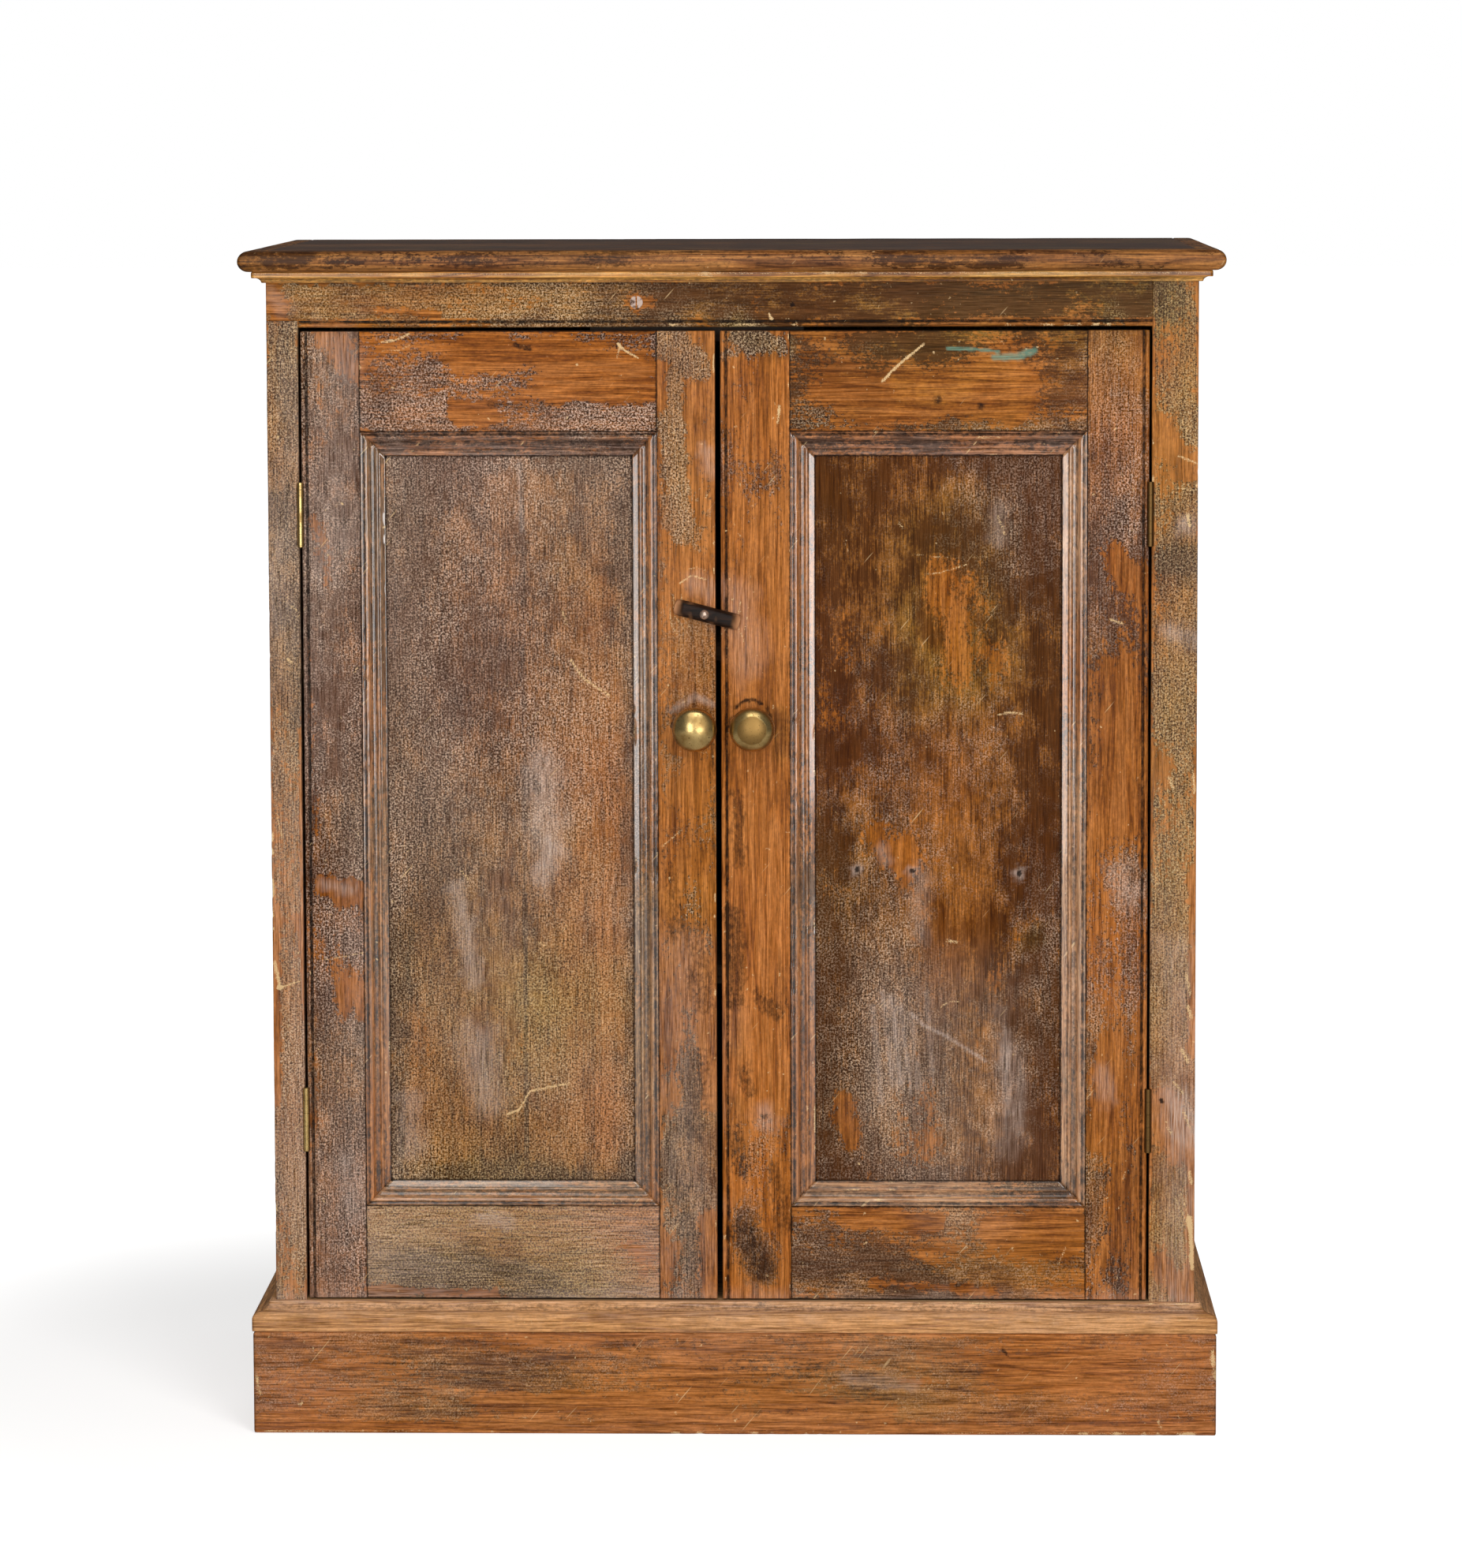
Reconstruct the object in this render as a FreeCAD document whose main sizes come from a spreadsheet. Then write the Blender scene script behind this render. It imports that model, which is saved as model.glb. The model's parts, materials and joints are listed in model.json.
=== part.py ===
"""Two-door panelled pine cupboard on a moulded plinth, as a parametric document in millimetres.

The frame: +Z up, the front looks along -Y, the origin is on the floor under the middle of the whole
object. Every size stands in the sheet "dims"; the sheet "calc" works out what follows from them.
"""
import FreeCAD, Part
import math
import os
import re

import Sketcher

Vector = FreeCAD.Vector
Rotation = FreeCAD.Rotation

DIMENSIONS = {
    # carcass
    "carcass_width": 914.4,
    "carcass_depth": 450.0,
    "overall_height": 1176.0,
    "side_thickness": 20.0,
    "floor_thickness": 19.0,
    "floor_housing_depth": 7.0,
    "back_thickness": 12.0,
    "back_rebate_width": 10.0,
    "back_board_gap": 0.6,
    "back_tongue_length": 5.0,
    "back_tongue_thickness": 4.0,
    "back_groove_depth": 5.6,
    "rear_rail_height": 48.0,
    "rear_rail_thickness": 20.0,
    # shelves
    "shelf_thickness": 18.0,
    "shelf_setback": 14.0,
    "shelf_end_gap": 0.8,
    "lower_shelf_level": 462.0,
    "upper_shelf_level": 786.0,
    "bearer_height": 28.0,
    "bearer_thickness": 20.0,
    "bearer_front_slope": 14.0,
    # top
    "top_thickness": 20.6,
    "top_overhang": 25.2,
    "top_edging_width": 27.0,
    "bed_mould_height": 11.0,
    "bed_mould_projection": 13.0,
    "bed_mould_lip": 4.0,
    "bed_mould_lip_height": 1.4,
    "bed_mould_fillet_height": 6.2,
    "bed_mould_step": 0.8,
    "bed_mould_cove_radius": 7.2,
    # plinth
    "plinth_height": 102.8,
    "plinth_thickness": 21.0,
    "base_mould_height": 28.4,
    "base_mould_projection": 22.0,
    "base_mould_fillet_height": 11.2,
    "base_mould_ledge": 6.6,
    "base_mould_round_radius": 7.6,
    "base_mould_hollow_radius": 8.4,
    # face frame
    "frame_thickness": 22.0,
    "left_frame_stile_width": 30.7,
    "right_frame_stile_width": 45.2,
    "top_rail_height": 55.1,
    "lower_rail_height": 70.0,
    "frame_tenon_length": 22.0,
    "bead_width": 4.8,
    "quirk_width": 1.8,
    # doors
    "door_thickness": 22.0,
    "door_top_gap": 3.8,
    "door_bottom_gap": 1.6,
    "meeting_gap": 5.4,
    "left_door_width": 407.2,
    "left_hanging_stile_width": 57.8,
    "left_meeting_stile_width": 57.3,
    "right_meeting_stile_width": 68.3,
    "right_hanging_stile_width": 60.6,
    "door_top_rail_height": 98.5,
    "door_bottom_rail_height": 93.2,
    "panel_thickness": 7.0,
    "panel_setback": 9.5,
    "panel_groove_depth": 9.0,
    "panel_edge_gap": 1.5,
    "tenon_haunch": 20.0,
    "panel_mould_width": 24.5,
    "panel_mould_height": 9.0,
    # hinges
    "hinge_gap": 2.6,
    "hinge_inset": 148.6,
    "hinge_length": 63.5,
    "hinge_leaf_width": 18.0,
    "hinge_leaf_thickness": 1.5,
    "hinge_axis_proud": 1.0,
    "hinge_knuckle_diameter": 6.2,
    "hinge_knuckle_gap": 0.3,
    "hinge_notch_gap": 0.35,
    "hinge_pin_diameter": 3.2,
    "hinge_pin_clearance": 0.06,
    "hinge_screw_pitch": 22.0,
    "hinge_screw_setback": 11.0,
    "hinge_screw_diameter": 3.2,
    "hinge_screw_head_diameter": 6.0,
    "hinge_screw_length": 19.0,
    "screw_clearance": 0.05,
    # knobs
    "knob_diameter": 44.0,
    "knob_projection": 47.0,
    "knob_spigot_diameter": 8.0,
    "knob_spigot_length": 18.0,
    "knob_drop": 389.6,
    "left_knob_inset": 20.2,
    "right_knob_inset": 31.2,
    # turn button
    "button_length": 66.0,
    "button_off_centre": 2.5,
    "button_width": 15.8,
    "button_thickness": 11.0,
    "button_end_thickness": 4.5,
    "button_bevel_length": 9.0,
    "button_edge_radius": 2.6,
    "button_clearance": 0.4,
    "button_slope": 14.5,
    "button_rise": 111.2,
    "button_inset": 10.5,
    "button_screw_diameter": 4.4,
    "button_bore_clearance": 0.1,
    "button_screw_head_diameter": 9.4,
    "button_screw_head_height": 3.4,
    "button_screw_length": 29.0,
    # door stop and the screws that hold it
    "stop_length": 210.0,
    "stop_height": 62.0,
    "stop_thickness": 18.0,
    "stop_overlap": 11.0,
    "rail_screw_diameter": 5.0,
    "rail_screw_head_diameter": 12.6,
    "rail_screw_length": 37.0,
    "rail_screw_slot_width": 1.4,
    "rail_screw_slot_depth": 1.3,
    "rail_screw_drop": 30.8,
    "rail_screw_left_reach": 79.3,
    "rail_screw_right_reach": 37.8,
    # cuts
    "cut_overrun": 5.0,
}

FORMULAS = {
    "half_width": "carcass_width / 2",
    "face_y": "(knob_projection - carcass_depth) / 2",
    "back_y": "face_y + carcass_depth",
    "frame_back_y": "face_y + frame_thickness",
    "back_front_y": "back_y - back_thickness",
    "inner_depth": "back_front_y - frame_back_y",
    "inner_half_width": "half_width - side_thickness",
    "top_under": "overall_height - top_thickness",
    "floor_level": "plinth_height + base_mould_height",
    "floor_under": "floor_level - floor_thickness",
    "opening_left": "left_frame_stile_width - half_width",
    "opening_right": "half_width - right_frame_stile_width",
    "opening_width": "opening_right - opening_left",
    "rail_bottom": "top_under - top_rail_height",
    "beaded_edge": "bead_width + quirk_width",
    "bead_radius": "bead_width / 2",
    "frame_tenon_front": "frame_thickness / 3",
    "frame_tenon_thickness": "frame_thickness / 3",
    "door_bottom": "floor_level + door_bottom_gap",
    "door_top": "rail_bottom - door_top_gap",
    "door_height": "door_top - door_bottom",
    "left_door_x": "opening_left + hinge_gap",
    "left_door_end": "left_door_x + left_door_width",
    "right_door_x": "left_door_end + meeting_gap",
    "right_door_end": "opening_right - hinge_gap",
    "right_door_width": "right_door_end - right_door_x",
    "meeting_line": "left_door_end + meeting_gap / 2",
    "left_opening_width": "left_door_width - left_hanging_stile_width - left_meeting_stile_width",
    "right_opening_width": "right_door_width - right_meeting_stile_width - right_hanging_stile_width",
    "panel_opening_height": "door_height - door_top_rail_height - door_bottom_rail_height",
    "panel_back": "panel_setback + panel_thickness",
    "hinge_axis_y": "face_y - hinge_axis_proud",
    "left_hinge_x": "opening_left + hinge_gap / 2",
    "right_hinge_x": "opening_right - hinge_gap / 2",
    "upper_hinge_z": "door_top - hinge_inset - hinge_length / 2",
    "lower_hinge_z": "door_bottom + hinge_inset + hinge_length / 2",
    "knuckle_radius": "hinge_knuckle_diameter / 2",
    "knuckle_room": "knuckle_radius + hinge_notch_gap",
    "hinge_bore_diameter": "hinge_pin_diameter + 2 * hinge_pin_clearance",
    "knob_height": "door_height - knob_drop",
    "knob_z": "door_bottom + knob_height",
    "left_knob_x": "left_door_end - left_knob_inset",
    "right_knob_x": "right_door_x + right_knob_inset",
    "button_x": "left_door_end - button_inset",
    "button_height": "knob_height + button_rise",
    "button_z": "door_bottom + button_height",
    "rail_screw_z": "top_under - rail_screw_drop",
    "rail_screw_left_x": "meeting_line - rail_screw_left_reach",
    "rail_screw_right_x": "meeting_line + rail_screw_right_reach",
    "stop_bottom": "door_top - stop_overlap",
    "button_reach": "button_thickness + button_clearance + button_bore_clearance",
}

# Panel mould, as shares of its width from the rail inwards and of its height above the panel. The third
# share, where there is one, is the radius of the arc to the next point, as a share of the width.
PANEL_MOULD_SHARES = (
    (0.0, 0.0),
    (0.0, 0.93),
    (0.12, 0.93),
    (0.12, 0.84, 0.14, "left"),
    (0.345, 0.74, 0.17, "right"),
    (0.60, 0.50, 0.075, "left"),
    (0.73, 0.50),
    (0.73, 0.44),
    (1.0, 0.34),
    (1.0, 0.0),
)

# Knob from its foot to its rim, as shares of its radius from the axis and of its projection from the door.
# The third share is the radius of the arc to the next point, as a share of the diameter. The dome over the
# rim is part of a ball with its centre on the axis.
KNOB_SHARES = (
    (0.80, 0.0),
    (0.80, 0.06, 0.28, "right"),
    (0.36, 0.30, 0.295, "right"),
    (0.864, 0.596, 0.136, "left"),
    (1.0, 0.706, 0.227, "left"),
)
KNOB_DOME_SHARES = (0.806, 0.881)

BACK_BOARDS = 5
KNUCKLES = 5
HINGE_SCREW_ROWS = (-1, 0, 1)

DOC = FreeCAD.newDocument("cupboard")
DIMS = DOC.addObject("Spreadsheet::Sheet", "dims")
CALC = DOC.addObject("Spreadsheet::Sheet", "calc")
PARTS = []
WORD = re.compile(r"[a-z_]+")


def in_sheets(text):
    """Write the named sizes of a formula with the sheets that hold them."""
    def with_sheet(match):
        word = match.group(0)
        if word in DIMENSIONS:
            return "dims." + word
        if word in FORMULAS:
            return "calc." + word
        return word
    return WORD.sub(with_sheet, text)


def fill_sheets():
    """Put the driving sizes into dims and the formulas into calc, each under its alias."""
    for row, (name, size) in enumerate(DIMENSIONS.items(), start=1):
        DIMS.set(f"A{row}", name)
        DIMS.set(f"B{row}", str(size))
        DIMS.setAlias(f"B{row}", name)
    DOC.recompute()
    for row, (name, formula) in enumerate(FORMULAS.items(), start=1):
        CALC.set(f"A{row}", name)
        CALC.set(f"B{row}", "=" + in_sheets(formula).replace("calc.", ""))
        CALC.setAlias(f"B{row}", name)
    DOC.recompute()


def value(text):
    """The present value of a formula in named sizes."""
    return float(CALC.evalExpression(in_sheets(text)))


def bind(item, prop, text):
    """Bind a property to a formula in named sizes."""
    item.setExpression(prop, in_sheets(text))


def place(item, x, y, z, rotation=None):
    """Set an object's turn and bind its place."""
    if rotation is not None:
        item.Placement = FreeCAD.Placement(Vector(), rotation)
    for axis, text in (("x", x), ("y", y), ("z", z)):
        bind(item, f"Placement.Base.{axis}", text)
    return item


def keep(item):
    """Count an object as a sub-part of the cupboard, written to its own file."""
    PARTS.append(item)
    return item


def new_body(name):
    """An empty body."""
    return DOC.addObject("PartDesign::Body", name)


def box(name, length, width, height):
    """A plain board, its corner at its own origin."""
    item = DOC.addObject("Part::Box", name)
    bind(item, "Length", length)
    bind(item, "Width", width)
    bind(item, "Height", height)
    return item


def cylinder(name, diameter, height):
    """A plain round bar along its own Z."""
    item = DOC.addObject("Part::Cylinder", name)
    bind(item, "Radius", f"({diameter}) / 2")
    bind(item, "Height", height)
    return item


def sketch_on(body, role, name, offset="0"):
    """A sketch on one of the body's origin planes, moved along the plane's normal by offset."""
    sketch = body.newObject("Sketcher::SketchObject", name)
    plane = next(item for item in body.Origin.OriginFeatures if item.Role == role)
    sketch.AttachmentSupport = (plane, "")
    sketch.MapMode = "FlatFace"
    if offset != "0":
        bind(sketch, "AttachmentOffset.Base.z", offset)
    return sketch


def tie(sketch, kind, first, second, text, name):
    """A distance between two points of a sketch, bound to a formula."""
    index = sketch.addConstraint(Sketcher.Constraint(kind, *first, *second, value(text)))
    sketch.renameConstraint(index, name)
    bind(sketch, f"Constraints.{name}", text)


def pin_point(sketch, geometry, position, x, y, name):
    """Fix one point of a sketch at two formulas from the sketch's origin."""
    if x == "0":
        sketch.addConstraint(Sketcher.Constraint("PointOnObject", geometry, position, -2))
    else:
        tie(sketch, "DistanceX", (-1, 1), (geometry, position), x, "across_" + name)
    if y == "0":
        sketch.addConstraint(Sketcher.Constraint("PointOnObject", geometry, position, -1))
    else:
        tie(sketch, "DistanceY", (-1, 1), (geometry, position), y, "up_" + name)


def arc_between(start, end, radius, bulge):
    """The arc from start to end, under a half circle, that bulges to the left or right of the way."""
    way = end - start
    left = Vector(-way.y, way.x, 0).normalize()
    side = left if bulge == "left" else -left
    centre = (start + end) / 2 - side * math.sqrt(radius ** 2 - (way.Length / 2) ** 2)
    return Part.Arc(start, centre + side * radius, end)


def outline(sketch, points, mark=""):
    """A closed outline. A point is (x, y), or (x, y, radius, bulge) where an arc leaves it."""
    places = [Vector(value(point[0]), value(point[1]), 0) for point in points]
    ends = []
    for index, point in enumerate(points):
        start = places[index]
        end = places[(index + 1) % len(points)]
        if len(point) == 4:
            edge = arc_between(start, end, value(point[2]), point[3])
        else:
            edge = Part.LineSegment(start, end)
        geometry = sketch.addGeometry(edge, False)
        first_gap = (sketch.getPoint(geometry, 1) - start).Length
        second_gap = (sketch.getPoint(geometry, 2) - start).Length
        ends.append((geometry, 1, 2) if first_gap < second_gap else (geometry, 2, 1))
    for index, point in enumerate(points):
        geometry, head, tail = ends[index]
        after, after_head, _ = ends[(index + 1) % len(points)]
        sketch.addConstraint(Sketcher.Constraint("Coincident", geometry, tail, after, after_head))
        pin_point(sketch, geometry, head, point[0], point[1], f"{mark}{index}")
        if len(point) == 4:
            size = sketch.addConstraint(Sketcher.Constraint("Radius", geometry, value(point[2])))
            sketch.renameConstraint(size, f"radius_{mark}{index}")
            bind(sketch, f"Constraints.radius_{mark}{index}", point[2])
    return sketch


def rectangle(sketch, x_low, x_high, y_low, y_high, mark=""):
    """A rectangle between four formulas."""
    return outline(sketch, ((x_low, y_low), (x_high, y_low), (x_high, y_high), (x_low, y_high)), mark)


def circle(sketch, x, y, diameter, mark=""):
    """A circle at two formulas."""
    ring = Part.Circle(Vector(value(x), value(y), 0), Vector(0, 0, 1), value(diameter) / 2)
    geometry = sketch.addGeometry(ring, False)
    pin_point(sketch, geometry, 3, x, y, mark + "centre")
    size = sketch.addConstraint(Sketcher.Constraint("Diameter", geometry, value(diameter)))
    sketch.renameConstraint(size, mark + "diameter")
    bind(sketch, f"Constraints.{mark}diameter", diameter)
    return sketch


def pad(body, sketch, length, backwards=None, reverse=False, both=False):
    """Raise a sketch into a solid, by length along its normal and by backwards the other way."""
    feature = body.newObject("PartDesign::Pad", sketch.Name + "_pad")
    feature.Profile = sketch
    bind(feature, "Length", length)
    if backwards is not None:
        feature.SideType = "Two sides"
        bind(feature, "Length2", backwards)
    if both:
        feature.SideType = "Symmetric"
    feature.Reversed = reverse
    DOC.recompute()
    return feature


def pocket(body, sketch, length=None, reverse=False):
    """Cut a sketch out of a body: right through both ways, or by length against its normal."""
    before = body.Shape.Volume
    feature = body.newObject("PartDesign::Pocket", sketch.Name + "_cut")
    feature.Profile = sketch
    if length is None:
        feature.Type = "ThroughAll"
        feature.SideType = "Symmetric"
    else:
        bind(feature, "Length", length)
        feature.Reversed = reverse
    DOC.recompute()
    if not body.Shape.Volume < before:
        raise RuntimeError(f"{feature.Name} cuts nothing")
    return feature


def revolve(body, sketch):
    """Turn a sketch round its own upright axis."""
    feature = body.newObject("PartDesign::Revolution", sketch.Name + "_turned")
    feature.Profile = sketch
    feature.ReferenceAxis = (sketch, ["V_Axis"])
    DOC.recompute()
    return feature


def cap_radius(half_width, rise):
    """The radius of the ball whose cap has this half width and rise."""
    return f"(({half_width}) ^ 2 + ({rise}) ^ 2) / (2 * ({rise}))"


def copies(name, model, places, rotation=None):
    """One sub-part of several equal solids: the model at each of the places."""
    links = []
    for index, (x, y, z) in enumerate(places):
        link = DOC.addObject("App::Link", f"{name}_{index}")
        link.LinkedObject = model
        place(link, x, y, z, rotation)
        links.append(link)
    return links


def group(name, members):
    """Several separate solids under one label."""
    item = DOC.addObject("Part::Compound", name)
    item.Links = members
    return keep(item)


def mirrored(points, width):
    """The outline turned over left to right within a width."""
    swap = {"left": "right", "right": "left"}
    turned = []
    for point in points:
        across = (f"({width}) - ({point[0]})", point[1])
        turned.append(across + ((point[2], swap[point[3]]) if len(point) == 4 else ()))
    return tuple(turned)


def flipped(points, height):
    """The outline turned over top to bottom within a height."""
    swap = {"left": "right", "right": "left"}
    turned = []
    for point in points:
        up = (point[0], f"({height}) - ({point[1]})")
        turned.append(up + ((point[2], swap[point[3]]) if len(point) == 4 else ()))
    return tuple(turned)


def beaded_edge_points():
    """A bead and its quirk worked on the arris at the outline's origin, up to the flat face."""
    return (
        ("0", "bead_radius", "bead_radius", "right"),
        ("bead_radius", "0", "bead_radius", "right"),
        ("bead_width", "bead_radius"),
        ("beaded_edge", "bead_radius"),
        ("beaded_edge", "0"),
    )


def moulding_run(name, profile, length, inner, outer, ends):
    """A moulding along local X, standing out along local Y, cut to mitres that open outwards.

    inner and outer are the least and greatest standing-out of the profile; ends names the mitred ends.
    """
    body = new_body(name)
    pad(body, outline(sketch_on(body, "YZ_Plane", name + "_profile"), profile), length)
    across = f"({outer}) - ({inner})"
    for end in ends:
        tip = "0" if end == "start" else length
        foot = across if end == "start" else f"({length}) - ({across})"
        mitre = sketch_on(body, "XY_Plane", f"{name}_{end}")
        outline(mitre, ((tip, inner), (foot, inner), (tip, outer)))
        pocket(body, mitre)
    return body


def runs_round_carcass(name, profile, inner, outer, level):
    """A moulding round the front and two sides of the carcass: three mitred runs."""
    front_length = f"carcass_width + 2 * ({outer})"
    side_length = f"carcass_depth + ({outer})"
    front = moulding_run(name + "_front", profile, front_length, inner, outer, ("start", "end"))
    place(front, f"half_width + ({outer})", "face_y", level, Rotation(Vector(0, 0, 1), 180))
    left = moulding_run(name + "_left", profile, side_length, inner, outer, ("start",))
    place(left, "-half_width", f"face_y - ({outer})", level, Rotation(Vector(0, 0, 1), 90))
    right = moulding_run(name + "_right", profile, side_length, inner, outer, ("end",))
    place(right, "half_width", "back_y", level, Rotation(Vector(0, 0, 1), -90))
    for run in (front, left, right):
        keep(run)


def build_sides():
    """Two side boards with a housing for the floor and a rebate for the back."""
    depth = "carcass_depth - frame_thickness"
    section = (
        ("0", "0"),
        ("side_thickness", "0"),
        ("side_thickness", f"{depth} - back_thickness"),
        ("side_thickness - back_rebate_width", f"{depth} - back_thickness"),
        ("side_thickness - back_rebate_width", depth),
        ("0", depth),
    )
    housing = (
        ("side_thickness - floor_housing_depth", "floor_under"),
        ("side_thickness + cut_overrun", "floor_under"),
        ("side_thickness + cut_overrun", "floor_level"),
        ("side_thickness - floor_housing_depth", "floor_level"),
    )
    for name, turn, x in (("left_side", False, "-half_width"), ("right_side", True, "inner_half_width")):
        body = new_body(name)
        points = mirrored(section, "side_thickness") if turn else section
        pad(body, outline(sketch_on(body, "XY_Plane", name + "_section"), points), "top_under")
        points = mirrored(housing, "side_thickness") if turn else housing
        pocket(body, outline(sketch_on(body, "XZ_Plane", name + "_housing"), points),
               f"{depth} - back_thickness")
        keep(place(body, x, "frame_back_y", "0"))


def build_floor_and_shelves():
    """The housed floor board, two loose shelves and the bearers that carry them."""
    floor = box("floor_board", "2 * (inner_half_width + floor_housing_depth)", "inner_depth",
                "floor_thickness")
    keep(place(floor, "-inner_half_width - floor_housing_depth", "frame_back_y", "floor_under"))
    shelf_front = "frame_back_y + shelf_setback"
    shelf_depth = "inner_depth - shelf_setback"
    bearer = new_body("bearer")
    side_view = (
        ("0", "bearer_front_slope"),
        ("bearer_front_slope", "0"),
        (shelf_depth, "0"),
        (shelf_depth, "bearer_height"),
        ("0", "bearer_height"),
    )
    pad(bearer, outline(sketch_on(bearer, "YZ_Plane", "bearer_side"), side_view), "bearer_thickness")
    places = []
    for name, level in (("shelf_lower", "lower_shelf_level"), ("shelf_upper", "upper_shelf_level")):
        shelf = box(name, "2 * (inner_half_width - shelf_end_gap)", shelf_depth, "shelf_thickness")
        keep(place(shelf, "shelf_end_gap - inner_half_width", shelf_front, f"{level} - shelf_thickness"))
        under = f"{level} - shelf_thickness - bearer_height"
        places.append(("-inner_half_width", shelf_front, under))
        places.append(("inner_half_width - bearer_thickness", shelf_front, under))
    group("shelf_bearers", copies("bearer_at", bearer, places))


def build_back():
    """Upright tongued and grooved back boards in the rebates, and the rail that holds their heads."""
    span = "(2 * (inner_half_width + back_rebate_width))"
    width = f"({span} - {BACK_BOARDS - 1} * back_board_gap) / {BACK_BOARDS}"
    low = "(back_thickness - back_tongue_thickness) / 2"
    high = "(back_thickness + back_tongue_thickness) / 2"
    for number in range(BACK_BOARDS):
        points = [("0", "0"), (width, "0")]
        if number < BACK_BOARDS - 1:
            tip = f"{width} + back_tongue_length"
            points += [(width, low), (tip, low), (tip, high), (width, high)]
        points += [(width, "back_thickness"), ("0", "back_thickness")]
        if number > 0:
            foot = "back_groove_depth"
            points += [("0", high), (foot, high), (foot, low), ("0", low)]
        name = f"back_board_{number + 1}"
        body = new_body(name)
        section = outline(sketch_on(body, "XY_Plane", name + "_section"), points)
        pad(body, section, "top_under - floor_under")
        x = f"-inner_half_width - back_rebate_width + {number} * ({width} + back_board_gap)"
        keep(place(body, x, "back_front_y", "floor_under"))
    rail = box("rear_top_rail", "2 * inner_half_width", "rear_rail_thickness", "rear_rail_height")
    keep(place(rail, "-inner_half_width", "back_front_y - rear_rail_thickness",
               "top_under - rear_rail_height"))


def build_top():
    """The top board, its mitred bull-nosed edging, and the bed mould under it."""
    inner = "top_overhang - top_edging_width"
    board = box("top_board", f"carcass_width + 2 * ({inner})", f"carcass_depth + {inner}", "top_thickness")
    keep(place(board, f"-half_width - ({inner})", f"face_y - ({inner})", "top_under"))
    nose = "top_thickness / 2"
    bull_nose = (
        (inner, "0"),
        (f"top_overhang - {nose}", "0", nose, "right"),
        ("top_overhang", nose, nose, "right"),
        (f"top_overhang - {nose}", "top_thickness"),
        (inner, "top_thickness"),
    )
    runs_round_carcass("top_edging", bull_nose, inner, "top_overhang", "top_under")
    fillet_low = "bed_mould_height - bed_mould_fillet_height"
    bed = (
        ("0", "0"),
        ("bed_mould_lip", "0"),
        ("bed_mould_lip", "bed_mould_lip_height", "bed_mould_cove_radius", "left"),
        ("bed_mould_projection - bed_mould_step", fillet_low),
        ("bed_mould_projection", fillet_low),
        ("bed_mould_projection", "bed_mould_height"),
        ("0", "bed_mould_height"),
    )
    runs_round_carcass("bed_mould", bed, "0", "bed_mould_projection", "top_under - bed_mould_height")


def build_plinth():
    """The plinth boards and the ogee base mould that stands on them."""
    board = (
        ("0", "0"),
        ("plinth_thickness", "0"),
        ("plinth_thickness", "plinth_height"),
        ("0", "plinth_height"),
    )
    runs_round_carcass("plinth", board, "0", "plinth_thickness", "0")
    middle_out = "(base_mould_projection + base_mould_ledge) / 2"
    middle_up = "(base_mould_fillet_height + base_mould_height) / 2"
    ogee = (
        ("0", "0"),
        ("base_mould_projection", "0"),
        ("base_mould_projection", "base_mould_fillet_height", "base_mould_round_radius", "right"),
        (middle_out, middle_up, "base_mould_hollow_radius", "left"),
        ("base_mould_ledge", "base_mould_height"),
        ("0", "base_mould_height"),
    )
    runs_round_carcass("base_mould", ogee, "0", "base_mould_projection", "plinth_height")


def hinge_recess(body, edge, inward, name, level):
    """Let a hinge leaf and its knuckles into the edge of a stile.

    edge is the place of the edge along X, and inward is the sign of the way into the wood.
    """
    deep = "hinge_leaf_thickness"
    notch = "knuckle_room - hinge_gap / 2"
    notch_back = "knuckle_room - hinge_axis_proud"
    corners = (
        ("-cut_overrun", "-cut_overrun"),
        (notch, "-cut_overrun"),
        (notch, notch_back),
        (deep, notch_back),
        (deep, "hinge_leaf_width"),
        ("-cut_overrun", "hinge_leaf_width"),
    )
    points = [(f"{edge} {inward} ({depth})", back) for depth, back in corners]
    recess = sketch_on(body, "XY_Plane", name, f"{level} - hinge_length / 2")
    pocket(body, outline(recess, points), "hinge_length", reverse=True)


def hinge_screw_heights(level):
    """The heights of a hinge's three screws."""
    return [f"{level} + ({row}) * hinge_screw_pitch" for row in HINGE_SCREW_ROWS]


def hinge_pilot_holes(body, edge, inward, name, levels):
    """Bore a stile's edge for the hinge screws."""
    holes = sketch_on(body, "YZ_Plane", name, edge)
    count = 0
    for level in levels:
        for height in hinge_screw_heights(level):
            circle(holes, "hinge_screw_setback", height, "hinge_screw_diameter + 2 * screw_clearance",
                   f"hole{count}_")
            count += 1
    pocket(body, holes, "hinge_screw_length", reverse=inward == "+")


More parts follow.
